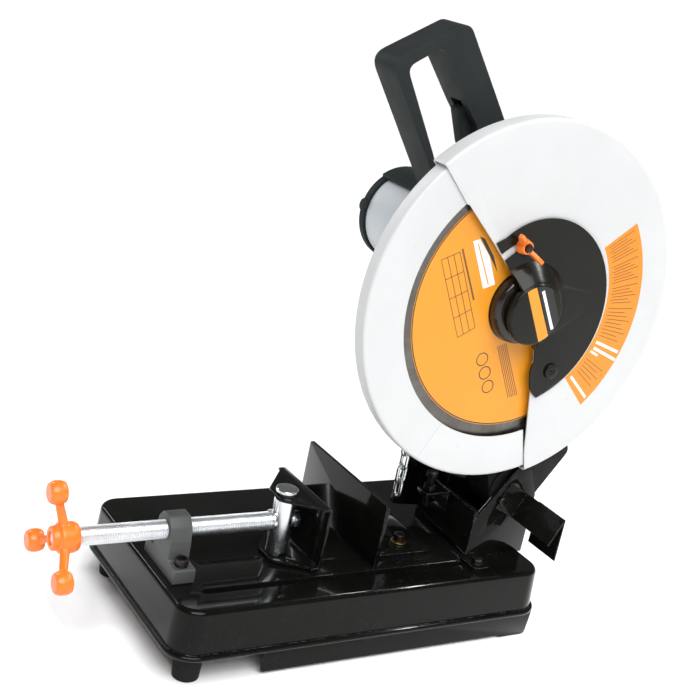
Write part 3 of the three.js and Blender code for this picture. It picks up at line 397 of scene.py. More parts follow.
def lathe(bm, axis, centre, profile, steps=64, start=0.0, sweep=360.0):
    """Turns a closed profile of (radius, along) round the axis through `centre`."""
    full = sweep == 360.0
    rings = []
    count = steps if full else steps + 1
    for k in range(count):
        a = (start + sweep * k / steps) * RAD
        rings.append([bm.verts.new(axis_point(
            axis, t, centre[0] + r * math.cos(a), centre[1] + r * math.sin(a))) for r, t in profile])
    n = len(profile)
    for k in range(steps):
        a, b = rings[k], rings[(k + 1) % count]
        for i in range(n):
            j = (i + 1) % n
            if profile[i][0] < 1e-6 and profile[j][0] < 1e-6:
                continue
            quad = [a[i], b[i], b[j], a[j]]
            if profile[i][0] < 1e-6:
                quad = [a[i], b[j], a[j]]
            elif profile[j][0] < 1e-6:
                quad = [a[i], b[i], a[j]]
            bm.faces.new(quad)
    if not full:
        bm.faces.new(rings[0][::-1])
        bm.faces.new(rings[-1])


def rounded(points, steps=4):
    """Rounds the corners of a closed profile: each point is (r, t, radius)."""
    out = []
    n = len(points)
    for i, p in enumerate(points):
        here = Vector(p[:2])
        radius = p[2] if len(p) > 2 else 0.0
        if not radius:
            out.append(tuple(here))
            continue
        back = Vector(points[i - 1][:2]) - here
        on = Vector(points[(i + 1) % n][:2]) - here
        room = 0.49 * min(back.length, on.length)
        back.normalize()
        on.normalize()
        half = math.acos(max(-1.0, min(1.0, back.dot(on)))) / 2
        reach = min(room, radius / math.tan(half))
        for k in range(steps + 1):
            t = k / steps
            q = (here + back * reach) * (1 - t) ** 2 + here * 2 * t * (1 - t) + (here + on * reach) * t ** 2
            out.append(tuple(q))
    return out


def prism(bm, axis, outline, low, high):
    """Extrudes a closed outline along an axis and gives the new corners."""
    rings = [[bm.verts.new(axis_point(axis, t, u, v)) for u, v in outline] for t in (low, high)]
    n = len(outline)
    bm.faces.new(rings[0])
    bm.faces.new(rings[1][::-1])
    for i in range(n):
        j = (i + 1) % n
        bm.faces.new([rings[0][i], rings[0][j], rings[1][j], rings[1][i]])
    return rings[0] + rings[1]


def block(name, axis, outline, low, high, origin, mat):
    """A prism with flat shading."""
    bm = bmesh.new()
    prism(bm, axis, outline, low, high)
    return new_object(name, bm, origin, mat)


def solid(name, axis, outline, low, high, origin, mat):
    """A prism whose outline has rounded corners."""
    return block(name, axis, rounded(outline, 6), low, high, origin, mat)


def spun(name, axis, centre, profile, origin, mat, steps=64):
    """A turned solid with flat shading."""
    bm = bmesh.new()
    lathe(bm, axis, centre, profile, steps)
    return new_object(name, bm, origin, mat)


def turned(name, axis, centre, profile, origin, mat, steps=64):
    """A turned solid with smooth shading."""
    obj = spun(name, axis, centre, profile, origin, mat, steps)
    smooth(obj)
    return obj


def drill(obj, axis, centre, radius, low, high, origin, steps=48):
    rod = [(0, low), (radius, low), (radius, high), (0, high)]
    boolean(obj, spun("tool", axis, centre, rod, origin, MAT["steel"], steps))


def merge(name, objs):
    """Joins finished meshes into one object."""
    bm = bmesh.new()
    for o in objs:
        bm.from_mesh(o.data)
    mat = objs[0].data.materials[0]
    for o in objs:
        discard(o)
    return mesh_object(name, bm, mat)


def arc(cx, cy, r, a0, a1, steps):
    """Points round a centre, from a0 to a1 degrees."""
    return [(cx + r * math.cos((a0 + (a1 - a0) * k / steps) * RAD),
             cy + r * math.sin((a0 + (a1 - a0) * k / steps) * RAD)) for k in range(steps + 1)]


# ------ fasteners


def hex_solid(name, axis, centre, across, low, high, origin, mat, turn=10.0, both=False):
    """A hexagon with its outer corners turned off at the top, or at both ends."""
    obj = block(name, axis, arc(*centre, across, turn, turn + 300, 5), low, high, origin, mat)
    inner, outer, shoulder = across * 0.88, across + 1, high - 0.9
    profile = [(0, low - 1), (outer, low - 1), (outer, shoulder), (inner, high), (0, high)]
    if both:
        profile = [(0, low), (inner, low), (outer, low + 0.9), (outer, shoulder), (inner, high), (0, high)]
    boolean(obj, spun("tool", axis, centre, profile, origin, mat, 40), "INTERSECT")
    bevel(obj, 0.25, 2)
    smooth(obj, 30)
    return obj


def hex_bolt(node, at, length, seat, mat, turn):
    """An upright M8 bolt with its washer."""
    shank, head, height = 4, 6.5, 5
    rim, base = head * 1.12, seat + 1.4
    washer = turned(node + "_w", "Z", at, rounded([
        (0, seat), (rim, seat, 0.4), (rim, base, 0.4), (0, base)]), STATION, mat)
    top = hex_solid(node + "_h", "Z", at, head, base, base + height, STATION, mat, turn)
    stem = turned(node + "_s", "Z", at, rounded([
        (0, seat - length), (shank, seat - length, 0.6), (shank, seat + 1), (0, seat + 1)]), STATION, mat, 32)
    place(merge(node + "_look", [washer, top, stem]), node)


def cap_screw(node, at, head, seat, washer=None):
    """An upright M8 socket cap screw, on a washer if one is named."""
    black = MAT["black_bolt"]
    shank, height, low = 4.0, 8.0, DECK + 1
    profile = rounded([(0, low), (shank, low, 0.5), (shank, seat), (head, seat, 0.4),
                       (head, seat + height, 0.7), (0, seat + height)])
    obj = spun(node + "_look", "Z", at, profile, STATION, black, 72)
    socket = arc(*at, head * 0.52, 20, 320, 5)
    boolean(obj, block("tool", "Z", socket, seat + height * 0.4, seat + height + 1, STATION, black))
    bevel(obj, 0.2, 2, 40)
    smooth(obj, 30)
    if washer:
        ring = turned(node + "_washer", "Z", at, rounded([
            (shank, seat - 1.4), (head + 2.6, seat - 1.4, 0.4), (head + 2.6, seat, 0.4), (shank, seat)]),
            STATION, MAT[washer])
        place(ring, None, BODY_OF[node], SLOT_OF[node])
    place(obj, node)


# ------ table

TOP = 81.0
DECK = TOP + 0.3          # where bolted pieces sit
HEM = 31.5


def table_loop(grow, z):
    """The table's rounded outline, grown outwards, at height z."""
    half = 120 + grow
    radius = 24 + grow
    points = []
    for cx, cy, start in ((half - radius, 436 + grow - radius, 0), (radius - half, 436 + grow - radius, 90),
                          (radius - half, radius - grow, 180), (half - radius, radius - grow, 270)):
        points += [(x, y, z) for x, y in arc(cx, cy, radius, start, start + 90, 14)]
    return points


def loft(bm, loops, cap_first=True, closed=False):
    """Skins a row of loops, capped at its ends or closed on itself, and gives the first loop."""
    rings = [[bm.verts.new(p) for p in loop] for loop in loops]
    n = len(rings[0])
    for a, b in zip(rings, rings[1:] + rings[:1] if closed else rings[1:]):
        for i in range(n):
            j = (i + 1) % n
            bm.faces.new([a[i], a[j], b[j], b[i]])
    if cap_first and not closed:
        bm.faces.new(rings[0][::-1])
    if not closed:
        bm.faces.new(rings[-1])
    return rings[0]


def slot_outline(x, front, back, width):
    r = width / 2
    return arc(x, front + r, r, 180, 360, 12) + arc(x, back - r, r, 0, 180, 12)


def make_table():
    black = MAT["table_paint"]
    draft, corner = 2.5, 5.2
    bead = [(draft + 1.0 + 2.8 * math.cos(a * RAD), HEM + 1.5 + 3.0 * math.sin(a * RAD))
            for a in range(-150, 121, 18)]
    outer = bead + [(draft - 0.2, HEM + 5.6), (draft - 0.3, HEM + 7)]
    outer += [(draft * (1 - t), HEM + 7 + (TOP - corner - HEM - 7) * t) for t in (0.25, 0.5, 0.75, 1.0)]
    outer += arc(-corner, TOP - corner, corner, 12, 90, 6)
    outer.append((-5.4, TOP))
    inner = [(-8.4, TOP - 3), (-3.2, TOP - 6), (draft - 3.2, HEM + 6), (draft + 0.6, HEM + 1)]
    bm = bmesh.new()
    # both skins are open below, where they are joined along the rolled hem
    hem, lip = (loft(bm, [table_loop(g, z) for g, z in skin], cap_first=False)
                for skin in (outer, inner[::-1]))
    for i in range(len(hem)):
        j = (i + 1) % len(hem)
        bm.faces.new([hem[j], hem[i], lip[i], lip[j]])
    obj = new_object("table_pressing", bm, STATION, black)
    trough, blade_slot, screw_relief = 10.4, 8.0, 2.0           # depths
    for outline, depth, high, operation in (
            (slot_outline(84, 31.6, 348.4, 13.8), trough, -1, "UNION"),
            (slot_outline(84, 34, 346, 9), blade_slot, 5, "DIFFERENCE"),
            (slot_outline(33, 52, 122, 7), screw_relief, 5, "DIFFERENCE")):
        boolean(obj, block("tool", "Z", outline, TOP - depth, TOP + high, STATION, black), operation)
    bevel(obj, 1.1, 3, 40)
    smooth(obj)
    place(obj, "table")


def make_feet():
    for node in ("foot_front_left", "foot_front_right", "foot_rear_left", "foot_rear_right"):
        c = middle(node) / MM - STATION
        profile = rounded([
            (0, 1.5), (5, 1.5), (6.5, 0, 0.6), (13.2, 0, 1.6), (14.0, 14), (13.6, 14.6), (13.6, 16.2),
            (14.1, 16.8), (14.8, 34, 1.0), (9, 34.5), (9, 77.4, 0.8), (0, 77.4)], 3)
        obj = turned(node + "_look", "Z", (c.x, c.y), profile, STATION, MAT["rubber"], 56)
        place(obj, node)


# ------ vise

SCREW_X, SCREW_Z = 32.0, 123.0
SCREW_AT = (SCREW_Z, SCREW_X)
PIN_AT = (SCREW_X, 140.0)


def make_vise_screw():
    """A rolled two-start thread, 4 mm a turn, drawn as a surface whose radius follows the helix."""
    zinc = MAT["screw_zinc"]
    start, end = -77.4, 126.2
    pitch, depth, crest = 4.0, 0.9, 9.5
    around, per_turn = 40, 14
    rows = int((end - start) / pitch * per_turn)
    grid = []
    for k in range(rows + 1):
        t = start + (end - start) * k / rows
        fade = min(1.0, (t - start) / 2.5, (end - t) / 2.5)
        row = []
        for i in range(around):
            phase = 2 * (t / pitch - i / around) % 1.0
            groove = depth * max(0.0, 1 - abs(phase - 0.5) / 0.40)
            r = crest - groove * fade - 0.8 * (1 - fade)
            a = 2 * math.pi * i / around
            row.append(axis_point("Y", t, SCREW_Z + r * math.cos(a), SCREW_X + r * math.sin(a)))
        grid.append(row)
    bm = bmesh.new()
    loft(bm, grid)
    screw = new_object("vise_screw_thread", bm, STATION, zinc)
    smooth(screw, 50)
    neck = turned("neck", "Y", SCREW_AT, rounded([
        (0, -102.0), (6.5, -102.0, 0.8), (6.5, -77.0), (0, -77.0)]), STATION, zinc, 40)
    tail = turned("tail", "Y", SCREW_AT, rounded([
        (0, 125.5), (5, 125.5), (5, 159.0, 0.8), (0, 159.0)]), STATION, zinc, 40)
    place(merge("vise_screw_look", [screw, neck, tail]), "vise_screw")


def make_star_handle():
    orange = MAT["orange_paint"]
    front, back = -104.0, -78.0
    knob_at, hub_at = 47, 8                       # distances from the screw's axis
    parts = [spun("hub", "Y", SCREW_AT, rounded([
        (0, front), (11.5, front, 1.5), (12, front + 6, 1.5), (15, front + 8, 2), (15, back - 5, 2),
        (13, back, 1.2), (0, back)], 4), STATION, orange, 48)]
    for angle in (0, 120, 240):
        c, s = math.cos(angle * RAD), math.sin(angle * RAD)
        loops = []
        for k in range(7):
            t = k / 6
            reach = hub_at + (knob_at - hub_at) * t
            wide = 5.8 - 2.4 * math.sin(math.pi * min(1.0, t * 1.1)) + 0.4 * t
            tall = 5.2 - 1.2 * t
            mid = front + 13 - 12.0 * t
            loop = []
            for i in range(16):
                a = 2 * math.pi * i / 16
                side = wide * math.cos(a)
                loop.append(axis_point("Y", mid + tall * math.sin(a), SCREW_Z + reach * c - side * s,
                                       SCREW_X + reach * s + side * c))
            loops.append(loop)
        bm = bmesh.new()
        loft(bm, loops)
        parts.append(new_object("spoke", bm, STATION, orange))
        knob = (SCREW_Z + knob_at * c, SCREW_X + knob_at * s)
        parts.append(spun("knob", "Y", knob, rounded([
            (0, front - 7.0), (9.2, front - 7.0, 2), (11.3, front - 2.0, 2), (11.3, front + 4.0, 2),
            (9.8, front + 9.0, 2), (0, front + 9.0)], 4), STATION, orange, 40))
    obj = merge("vise_handle_look", parts)
    fuse(obj, 0.9, 5)
    drill(obj, "Y", SCREW_AT, 6.7, front - 2, back + 2, STATION)
    smooth(obj, 60)
    place(obj, "vise_handle")


def make_nut_block():
    x, z = SCREW_X, SCREW_Z
    base = solid("vise_nut_block_look", "Y", [
        (DECK, x - 36, 2), (DECK, x + 36, 2), (DECK + 15, x + 36, 2), (DECK + 16, x + 18, 3),
        (z - 6, x + 17.5, 3), (z + 8, x + 15, 7), (z + 17, x + 7, 7), (z + 17, x - 7, 7),
        (z + 8, x - 15, 7), (z - 6, x - 17.5, 3), (DECK + 16, x - 18, 3), (DECK + 15, x - 36, 2)],
        10, 32, STATION, MAT["block_paint"])
    ears = {"nut_block_bolt_right": (x + 26, 21), "nut_block_bolt_left": (x - 26, 21)}
    for at in ears.values():
        drill(base, "Z", at, 7.6, DECK + 15, DECK + 24, STATION)
    bevel(base, 1.3, 3, 28)
    drill(base, "Y", SCREW_AT, 9.75, 8, 34, STATION, 64)
    smooth(base, 30)
    place(base, "vise_nut_block")
    for node, at in ears.items():
        cap_screw(node, at, 6.4, DECK + 15.2)


def make_jaw_pin():
    pin = turned("jaw_pin_look", "Z", PIN_AT, rounded([
        (0, 83.5), (6, 83.5, 0.8), (6, 88.5), (11.4, 88.5, 1.0), (11.4, 147.5, 1.0), (6, 147.5), (6, 154.9),
        (12, 154.9, 0.7), (11.4, 158.5, 1.4), (0, 158.5)], 4), STATION, MAT["zinc"], 56)
    place(pin, "jaw_pin")
    collar = turned("jaw_pin_collar", "Y", SCREW_AT, rounded([
        (6, 126.4), (11.2, 126.4, 0.8), (11.2, 129.8, 0.8), (6, 129.8)]), STATION, MAT["zinc"], 48)
    place(collar, None, "carriage", "zinc")
    nut = hex_solid("screw_end_nut_look", "Y", SCREW_AT, 9.5, 152.2, 158, STATION, MAT["zinc"], both=True)
    place(nut, "screw_end_nut")


def make_jaw():
    """Folded plate: the face and its two ears, bent from one blank."""
    black = MAT["table_paint"]
    left, right, y, foot, top, sheet = -26.0, 73.0, 169.0, 83.0, 153.0, 3.0
    bend, lip = 4.5, y - 8
    obj = solid("vise_jaw_look", "X", [
        (y + sheet, foot, bend), (y + sheet, top, bend), (lip, top), (lip, top - sheet),
        (y, top - sheet, bend - sheet), (y, foot + sheet, bend - sheet), (lip, foot + sheet), (lip, foot)],
        left, right, STATION, black)
    for low, high in ((top - sheet, top), (foot, foot + sheet)):
        ear = solid("ear", "Z", [
            (left + 2, y - 6.5), (right - 2, y - 6.5), (SCREW_X + 14, 127, 9), (SCREW_X - 14, 127, 9)],
            low, high, STATION, black)
        boolean(obj, ear, "UNION")
    drill(obj, "Z", PIN_AT, 6.3, foot - 3, top + 3, STATION)
    bevel(obj, 0.55, 2, 40)
    smooth(obj, 30)
    place(obj, "vise_jaw")


# ------ guards
# Points are (y, z) about the spindle axis and distances across the saw are from its centre plane.

GUARD_FACE = 91.52
SHOULDER = (54.0, -67.5)               # the screw the cover swings on
STUD = (-24.5, 66.0)                   # the wing nut's stud
PLATE_LOW, PLATE_HIGH = 92.1, 93.7     # the cover's plate
DIVIDE_TOP, DIVIDE_LOW = (-56.0, 64.0), (37.0, -95.0)       # ends of the cover's open edge
COVER_NECK = [(-29.7, 37.5), (0, -20), (16, -37), (26, -45), (29, -57), (27, -69), (32, -87)]


def sheet_ring(name, start, stop, inner, hub, outer, front, back, sheet, corner, steps):
    """A pressed ring of sheet: its face reaches in to `inner` and its back to `hub`."""
    shell = rounded([
        (inner, front), (outer, front, corner), (outer, back, corner), (hub, back), (hub, back + sheet),
        (outer - sheet, back + sheet, corner - sheet), (outer - sheet, front - sheet, corner - sheet),
        (inner, front - sheet)], 7)
    bm = bmesh.new()
    lathe(bm, "X", (0, 0), shell, steps, start, stop - start)
    return new_object(name, bm, HEAD, MAT["guard_paint"])


def make_upper_guard():
    white = MAT["guard_paint"]
    front = 91.5
    obj = sheet_ring("upper_guard_look", -73.0, 134.5, 50, 33.6, 192.9, front, 68.5, 1.5, 4.5, 150)
    foot = [(-40, -60), (32, -60), DIVIDE_LOW, (54, -187), (54, -210), (-40, -210)]
    boolean(obj, solid("tool", "X", foot, 60, 100, HEAD, white))
    # the face stops just short of the cover's own open edge
    neck = [(y + 1, z + 0.5) for y, z in COVER_NECK]
    open_face = [(-97.6, 101.7), (-56, 64), *neck, DIVIDE_LOW, (-120, -95), (-120, 101.7)]
    boolean(obj, solid("tool", "X", open_face, front - 2.5, front + 1, HEAD, white))
    bevel(obj, 0.45, 2, 50)
    smooth(obj)
    place(obj, "upper_guard")


def make_ring_guard():
    front, back, sheet = 89.4, 70.6, 1.4
    obj = sheet_ring("ring_guard_shell", 125.0, 287.0, 142.5, 60, 187.8, front, back, sheet, 4.0, 130)
    bevel(obj, 0.4, 2, 50)
    smooth(obj)
    hub = turned("ring_guard_hub", "X", (0, 0), rounded([
        (33.8, back), (61, back, 0.4), (61, back + sheet, 0.4), (33.8, back + sheet)]),
        HEAD, MAT["guard_paint"], 72)
    place(merge("retracting_guard_look", [obj, hub]), "retracting_guard")
    print_shapes("guard_seam", [radial_bar(-119, 143, 186, 0.3)], front + 0.01, "seam_grey",
                 "ring_guard", "guard_paint")


def make_cover():
    black = MAT["cover_black"]
    # a tongue that narrows as it runs round from the shoulder screw to the stud
    outline = [(DIVIDE_LOW[0], DIVIDE_LOW[1] + 2)]
    for k in range(61):
        t = k / 60
        a, r = (-66 + 188 * t) * RAD, 107 - 22 * t ** 3
        outline.append((r * math.cos(a), r * math.sin(a)))
    outline.append((DIVIDE_TOP[0], DIVIDE_TOP[1] + 2))
    plate = block("arbor_cover_look", "X", outline + COVER_NECK, PLATE_LOW, PLATE_HIGH, HEAD, black)
    # the dome and its hollow are open along the guard's dividing line
    keep = COVER_NECK[3::-1] + [DIVIDE_TOP, (DIVIDE_TOP[0], 160), (160, 160), (160, COVER_NECK[3][1])]
    dome = spun("dome", "X", (0, 0), rounded([
        (0, PLATE_LOW + 0.6), (51, PLATE_LOW + 0.6), (47.5, 97.0, 3), (43, 101.5, 4), (34.2, 109.6, 4),
        (33, 110.5), (0, 110.5)], 6), HEAD, black, 120)
    boolean(dome, solid("tool", "X", keep, 80, 120, HEAD, black), "INTERSECT")
    boolean(plate, dome, "UNION")
    # the badge's round face overhangs the open side
    boss = [(0, 102), (30.5, 102, 1), (33.2, 108.6, 3), (31.4, 112, 2.4), (0, 112)]
    boolean(plate, spun("tool", "X", (0, 0), rounded(boss, 6), HEAD, black, 120), "UNION")
    bowl = spun("tool", "X", (0, 0), rounded([
        (0, PLATE_LOW - 3), (47, PLATE_LOW - 3), (44.5, 96.0, 2), (40.5, 100.5, 3), (26, 109.6),
        (0, 109.6)], 5), HEAD, black, 120)
    shifted = [(y - 0.4, z - 0.2) for y, z in keep]
    boolean(bowl, solid("tool", "X", shifted, 70, 130, HEAD, black), "INTERSECT")
    boolean(plate, bowl)
    # a slot about the shoulder screw lets the cover swing off the stud
    reach = math.dist(STUD, SHOULDER)
    swing = math.atan2(STUD[1] - SHOULDER[1], STUD[0] - SHOULDER[0]) / RAD
    slot = (arc(*SHOULDER, reach + 4.6, swing - 1.9, swing + 16, 14)
            + arc(*SHOULDER, reach - 4.6, swing + 16, swing - 1.9, 14))
    boolean(plate, block("tool", "X", slot, PLATE_LOW - 2, PLATE_HIGH + 2, HEAD, black))
    bevel(plate, 0.5, 2, 40)
    smooth(plate, 18)
    place(plate, "arbor_cover")
    low = PLATE_HIGH + 0.4
    place(turned("cover_pivot_screw_look", "X", SHOULDER, rounded([
        (0, 88), (4, 88, 0.5), (4, low), (8.3, low, 0.5), (8.3, low + 2.4, 0.9), (3.4, low + 3.0, 0.4),
        (2.9, low + 2.0, 0.3), (1.4, low + 2.0, 0.3), (1.1, low + 3.1, 0.3), (0, low + 3.1)], 4),
        HEAD, black), "cover_pivot_screw")


def make_wing_nut():
    orange = MAT["orange_paint"]
    low = PLATE_HIGH + 0.3
    parts = [spun("hub", "X", STUD, rounded([
        (4.3, low), (8.4, low, 0.8), (8.0, low + 3, 1), (6.6, low + 10, 1.2), (4.3, low + 10)], 4),
        HEAD, orange, 40)]
    wing = rounded([
        (3, 1.5), (10, 4, 3), (22.6, 12.5, 4), (20.8, 19.2, 4), (14, 16.5, 4), (3, 9)], 5)
    upright = Matrix(((0, 1, 0, 0), (1, 0, 0, 0), (0, 0, -1, 0), (0, 0, 0, 1)))
    for angle in (-38, 142):
        bm = bmesh.new()
        turn = Matrix.Translation((low - 0.3, *STUD)) @ Matrix.Rotation(angle * RAD, 4, "X") @ upright
        bmesh.ops.transform(bm, matrix=turn, verts=prism(bm, "Z", wing, -2, 2))
        parts.append(new_object("wing", bm, HEAD, orange))
    obj = merge("wing_nut_look", parts)
    fuse(obj, 0.45, 6)
    smooth(obj, 60)
    place(obj, "wing_nut")


# ------ blade and flanges

PRINT = 0.04              # thickness of a printed shape
OVER = 0.05               # height of one print laid over another
ON_BLADE = ("spindle", "blade_steel")


def make_blade():
    teeth, radius = 36, 177.5
    step = 360 / teeth
    gullet = ((0, 0), (0.055, -3), (0.07, -6.4), (0.12, -8.6), (0.2, -9.4), (0.3, -9.3), (0.42, -8.4),
              (0.55, -6.0), (0.68, -3.2), (0.84, -1.4))
    outline = []
    for k in range(teeth):
        for along, down in gullet:
            a = (k + along) * step * RAD
            outline.append(((radius + down) * math.cos(a), (radius + down) * math.sin(a)))
    obj = block("blade_look", "X", outline, 81.8, 83.8, HEAD, MAT["blade_steel"])
    drill(obj, "X", (0, 0), 12.7, 80, 86, HEAD)
    smooth(obj, 30)
    place(obj, "blade")
    bm = bmesh.new()
    tip = [(177.4, -0.2), (177.2, 0.9), (171.6, 1.0), (171.6, -1.3), (174.6, -1.6)]
    for k in range(teeth):
        turn = Matrix.Rotation((k * step + 0.15) * RAD, 3, "X")
        bmesh.ops.rotate(bm, cent=(0, 0, 0), matrix=turn, verts=prism(bm, "X", tip, 81.7, 83.9))
    tips = new_object("blade_tips", bm, HEAD, MAT["carbide"])
    smooth(tips, 30)
    place(tips, None, *ON_BLADE)


def make_flanges():
    outer = turned("outer_flange_look", "X", (0, 0), rounded([
        (5.3, 84.2), (38, 84.2, 1), (38, 91.5, 3), (35.6, 96.2, 4), (30, 98, 3), (23.4, 98, 1.4),
        (22, 91, 1.2), (5.3, 91)], 6), HEAD, MAT["gloss_black"], 120)
    place(outer, "outer_flange")
    screw = hex_solid("arbor_bolt_look", "X", (0, 0), 9.2, 91.3, 97.0, HEAD, MAT["zinc"])
    place(screw, "arbor_bolt")


def print_shapes(name, outlines, x, mat, body, slot, within=None):
    """Thin printed shapes on a face across X, clipped to a circle of radius `within` if given."""
    bm = bmesh.new()
    for outline in outlines:
        prism(bm, "X", outline, x, x + PRINT)
    obj = new_object(name, bm, HEAD, MAT[mat])
    if within:
        disc = [(0, x - 1), (within, x - 1), (within, x + 1), (0, x + 1)]
        boolean(obj, spun("tool", "X", (0, 0), disc, HEAD, MAT[mat], 96), "INTERSECT")
    smooth(obj, 30)
    place(obj, None, body, slot)


def print_ring(name, centre, inner, outer, x, mat, steps):
    """A thin printed ring on the blade's label."""
    ring = [(inner, x), (outer, x), (outer, x + PRINT), (inner, x + PRINT)]
    place(turned(name, "X", centre, ring, HEAD, MAT[mat], steps), None, *ON_BLADE)


def radial_bar(angle, r0, r1, half):
    c, s = math.cos(angle * RAD), math.sin(angle * RAD)
    return [(r * c + side * s, r * s - side * c)
            for r, side in ((r0, half), (r1, half), (r1, -half), (r0, -half))]


def stroke(a, b, half):
    """A straight rule from a to b."""
    a, b = Vector(a), Vector(b)
    run = (b - a).normalized() * half
    side = Vector((-run.y, run.x))
    return [tuple(p) for p in (a + side, a - side, b - side, b + side)]


def across(quad, u, v):
    """A point inside a four-cornered panel: u runs from corner 0 to 1, v from corner 0 to 3."""
    a, b, c, d = (Vector(q) for q in quad)
    return tuple((a * (1 - u) + b * u) * (1 - v) + (d * (1 - u) + c * u) * v)


def make_blade_label():
    face = 84.02
    disc = turned("blade_label", "X", (0, 0), [(39, 83.9), (131, 83.9), (131, face), (39, face)],
                  HEAD, MAT["label_orange"], 160)
    place(disc, None, *ON_BLADE)
    print_ring("blade_label_edge", (0, 0), 129.2, 130.4, face + 0.01, "label_black", 160)
    stripe = [(-77.8, 64.7), (-70.3, 67.1), (-53.7, 50.5), (-38.5, 21.9), (-52.2, 17.0)]
    print_shapes("blade_stripe", [stripe], face, "label_white", *ON_BLADE)
    print_shapes("blade_stripe_rule", [stroke((-71, 62.5), (-47, 21.5), 0.7)], face + OVER, "label_orange",
                 *ON_BLADE)
    field = [(-71.1, 70), (-64.3, 67.9), (-48.5, 50.8), (-39, 34.3), (-53.1, 50.6)]
    print_shapes("blade_block", [field], face + OVER, "label_black", *ON_BLADE)
    table = [(-110.8, 44.4), (-90.8, 53.3), (-50.7, -23.7), (-69.7, -34.4)]
    rules = [stroke(across(table, 0, t / 4), across(table, 1, t / 4), 0.45) for t in range(5)]
    rules += [stroke(across(table, t / 3, 0), across(table, t / 3, 1), 0.45) for t in range(4)]
    rules.append(stroke((-88.7, 56.6), (-60.4, 5.1), 1.1))
    panel = [(-18.1, -41.5), (-7.2, -37.6), (28, -100.7), (15.3, -103.7)]
    rules += [stroke(across(panel, t, 0.04), across(panel, t, 0.96), 0.5)
              for t in (0.05, 0.23, 0.41, 0.59, 0.77, 0.95)]
    print_shapes("blade_rules", rules, face, "label_brown", *ON_BLADE)
    for k, centre in enumerate(((-31.9, -57.8), (-24.3, -72.7), (-16.3, -87.8))):
        print_ring(f"blade_ring_{k + 1}", centre, 6.3, 7.4, face, "label_black", 48)


def make_guard_label():
    on_guard = ("head", "guard_paint")
    panel = arc(0, 0, 156, -44, 38, 60) + arc(0, 0, 110, 38, -44, 50)
    print_shapes("guard_label", [panel], GUARD_FACE, "sticker_orange", *on_guard)
    fine = []
    for start, stop, count in ((36, 27, 7), (24, 15, 7), (12, 4, 6), (1, -14, 9)):
        for k in range(count):
            angle = start + (stop - start) * k / (count - 1)
            fine.append(radial_bar(angle, 115 + 2 * (k % 2), 150 - 5 * ((k * 2) % 3), 0.42))
    for k in range(5):
        fine.append(radial_bar(-28 - 2 * k, 116, 148 - 6 * (k % 2), 0.4))
    print_shapes("guard_label_rules", fine, GUARD_FACE + OVER, "label_brown", *on_guard)
    broad = [radial_bar(-18, 116, 153, 1.6), radial_bar(-21.3, 117, 155, 1.6),
             radial_bar(-23.6, 115, 128, 1.2), radial_bar(-40.7, 115, 153, 1.5)]
    print_shapes("guard_label_bars", broad, GUARD_FACE + OVER, "label_white", *on_guard)


def make_badge():
    """Two slanted fields on the cover's face, with one plain bar."""
    face, edge = 112.0, 30.2
    left = [(-20.8, 26.8), (-10.4, 31.6), (22.9, -23.8), (11.4, -29.3)]
    right = [(-8.8, 32.3), (5.6, 39.5), (35.9, -13.7), (23.6, -23.0)]
    for name, x, mat, outline in (
            ("badge_orange", face, "label_orange", left), ("badge_black", face, "badge_black", right),
            ("badge_bar", face + OVER, "label_white", stroke((0.5, 25.5), (24.5, -14.5), 1.7))):
        print_shapes(name, [outline], x, mat, "cover", "cover_black", within=edge)


# ------ motor, gearbox, handle

MOTOR = (-40.3, 41.7)


def make_motor():
    black = MAT["black_plastic"]
    tube = turned("motor_housing_look", "X", MOTOR, rounded([
        (43, -92), (47.4, -92, 0.5), (48, -90, 0.5), (48, 8, 0.8), (46.8, 9.5, 0.5), (46.8, 11.5, 0.5),
        (48, 13, 0.8), (48, 21.7, 0.5), (43, 21.7)], 4), HEAD, MAT["motor_grey"], 120)
    place(tube, "motor_housing")
    cap = turned("motor_end_cap_look", "X", MOTOR, rounded([
        (0, -108), (40, -108, 3), (43, -106.4, 2), (47, -105.6, 4), (50.5, -101, 5), (50.5, -92.3, 0.8),
        (47, -92.3), (47, -94), (0, -94)], 6), HEAD, black, 120)
    yc, tall = MOTOR[0], 2
    for k in range(-3, 4):
        half = math.sqrt(33.0 ** 2 - (9 * k) ** 2)
        zc = MOTOR[1] + 9 * k
        vent = rounded([(yc - half, zc - tall, 1.9), (yc + half, zc - tall, 1.9),
                        (yc + half, zc + tall, 1.9), (yc - half, zc + tall, 1.9)], 5)
        boolean(cap, block("tool", "X", vent, -110, -101, HEAD, black))
    smooth(cap)
    saddle = arc(*MOTOR, 54, 62, 128, 30) + arc(*MOTOR, 48.3, 128, 62, 30)
    lip = block("lip", "X", saddle, -100, -9, HEAD, black)
    bevel(lip, 2.2, 4, 40)
    smooth(lip)
    place(merge("motor_end_cap_full", [cap, lip]), "motor_end_cap")


def grooved_drum(radius, ends):
    """Half a housing's profile: a drum with rounded rims and a parting groove."""
    return [(0, 22), (radius - 3, 22, 5), (radius, 27, 3), (radius, 43.5, 0.6), (radius - 0.8, 44, 0.4),
            (radius - 0.8, 45, 0.4), (radius, 45.5, 0.6), (radius, 64, 3), *ends]


def make_gearbox():
    black = MAT["cast_black"]
    nose = [(60, 67.5, 2), (33, 67.5, 1), (33, 75, 0.6), (0, 75)]
    case = spun("gearbox_housing_look", "X", (0, 0), rounded(grooved_drum(63, nose), 5), HEAD, black, 120)
    flat = [(52, 67.4, 2), (0, 67.4)]
    drum = spun("tool", "X", MOTOR, rounded(grooved_drum(55, flat), 5), HEAD, black, 110)
    boolean(case, drum, "UNION")
    smooth(case)
    place(case, "gearbox_housing")


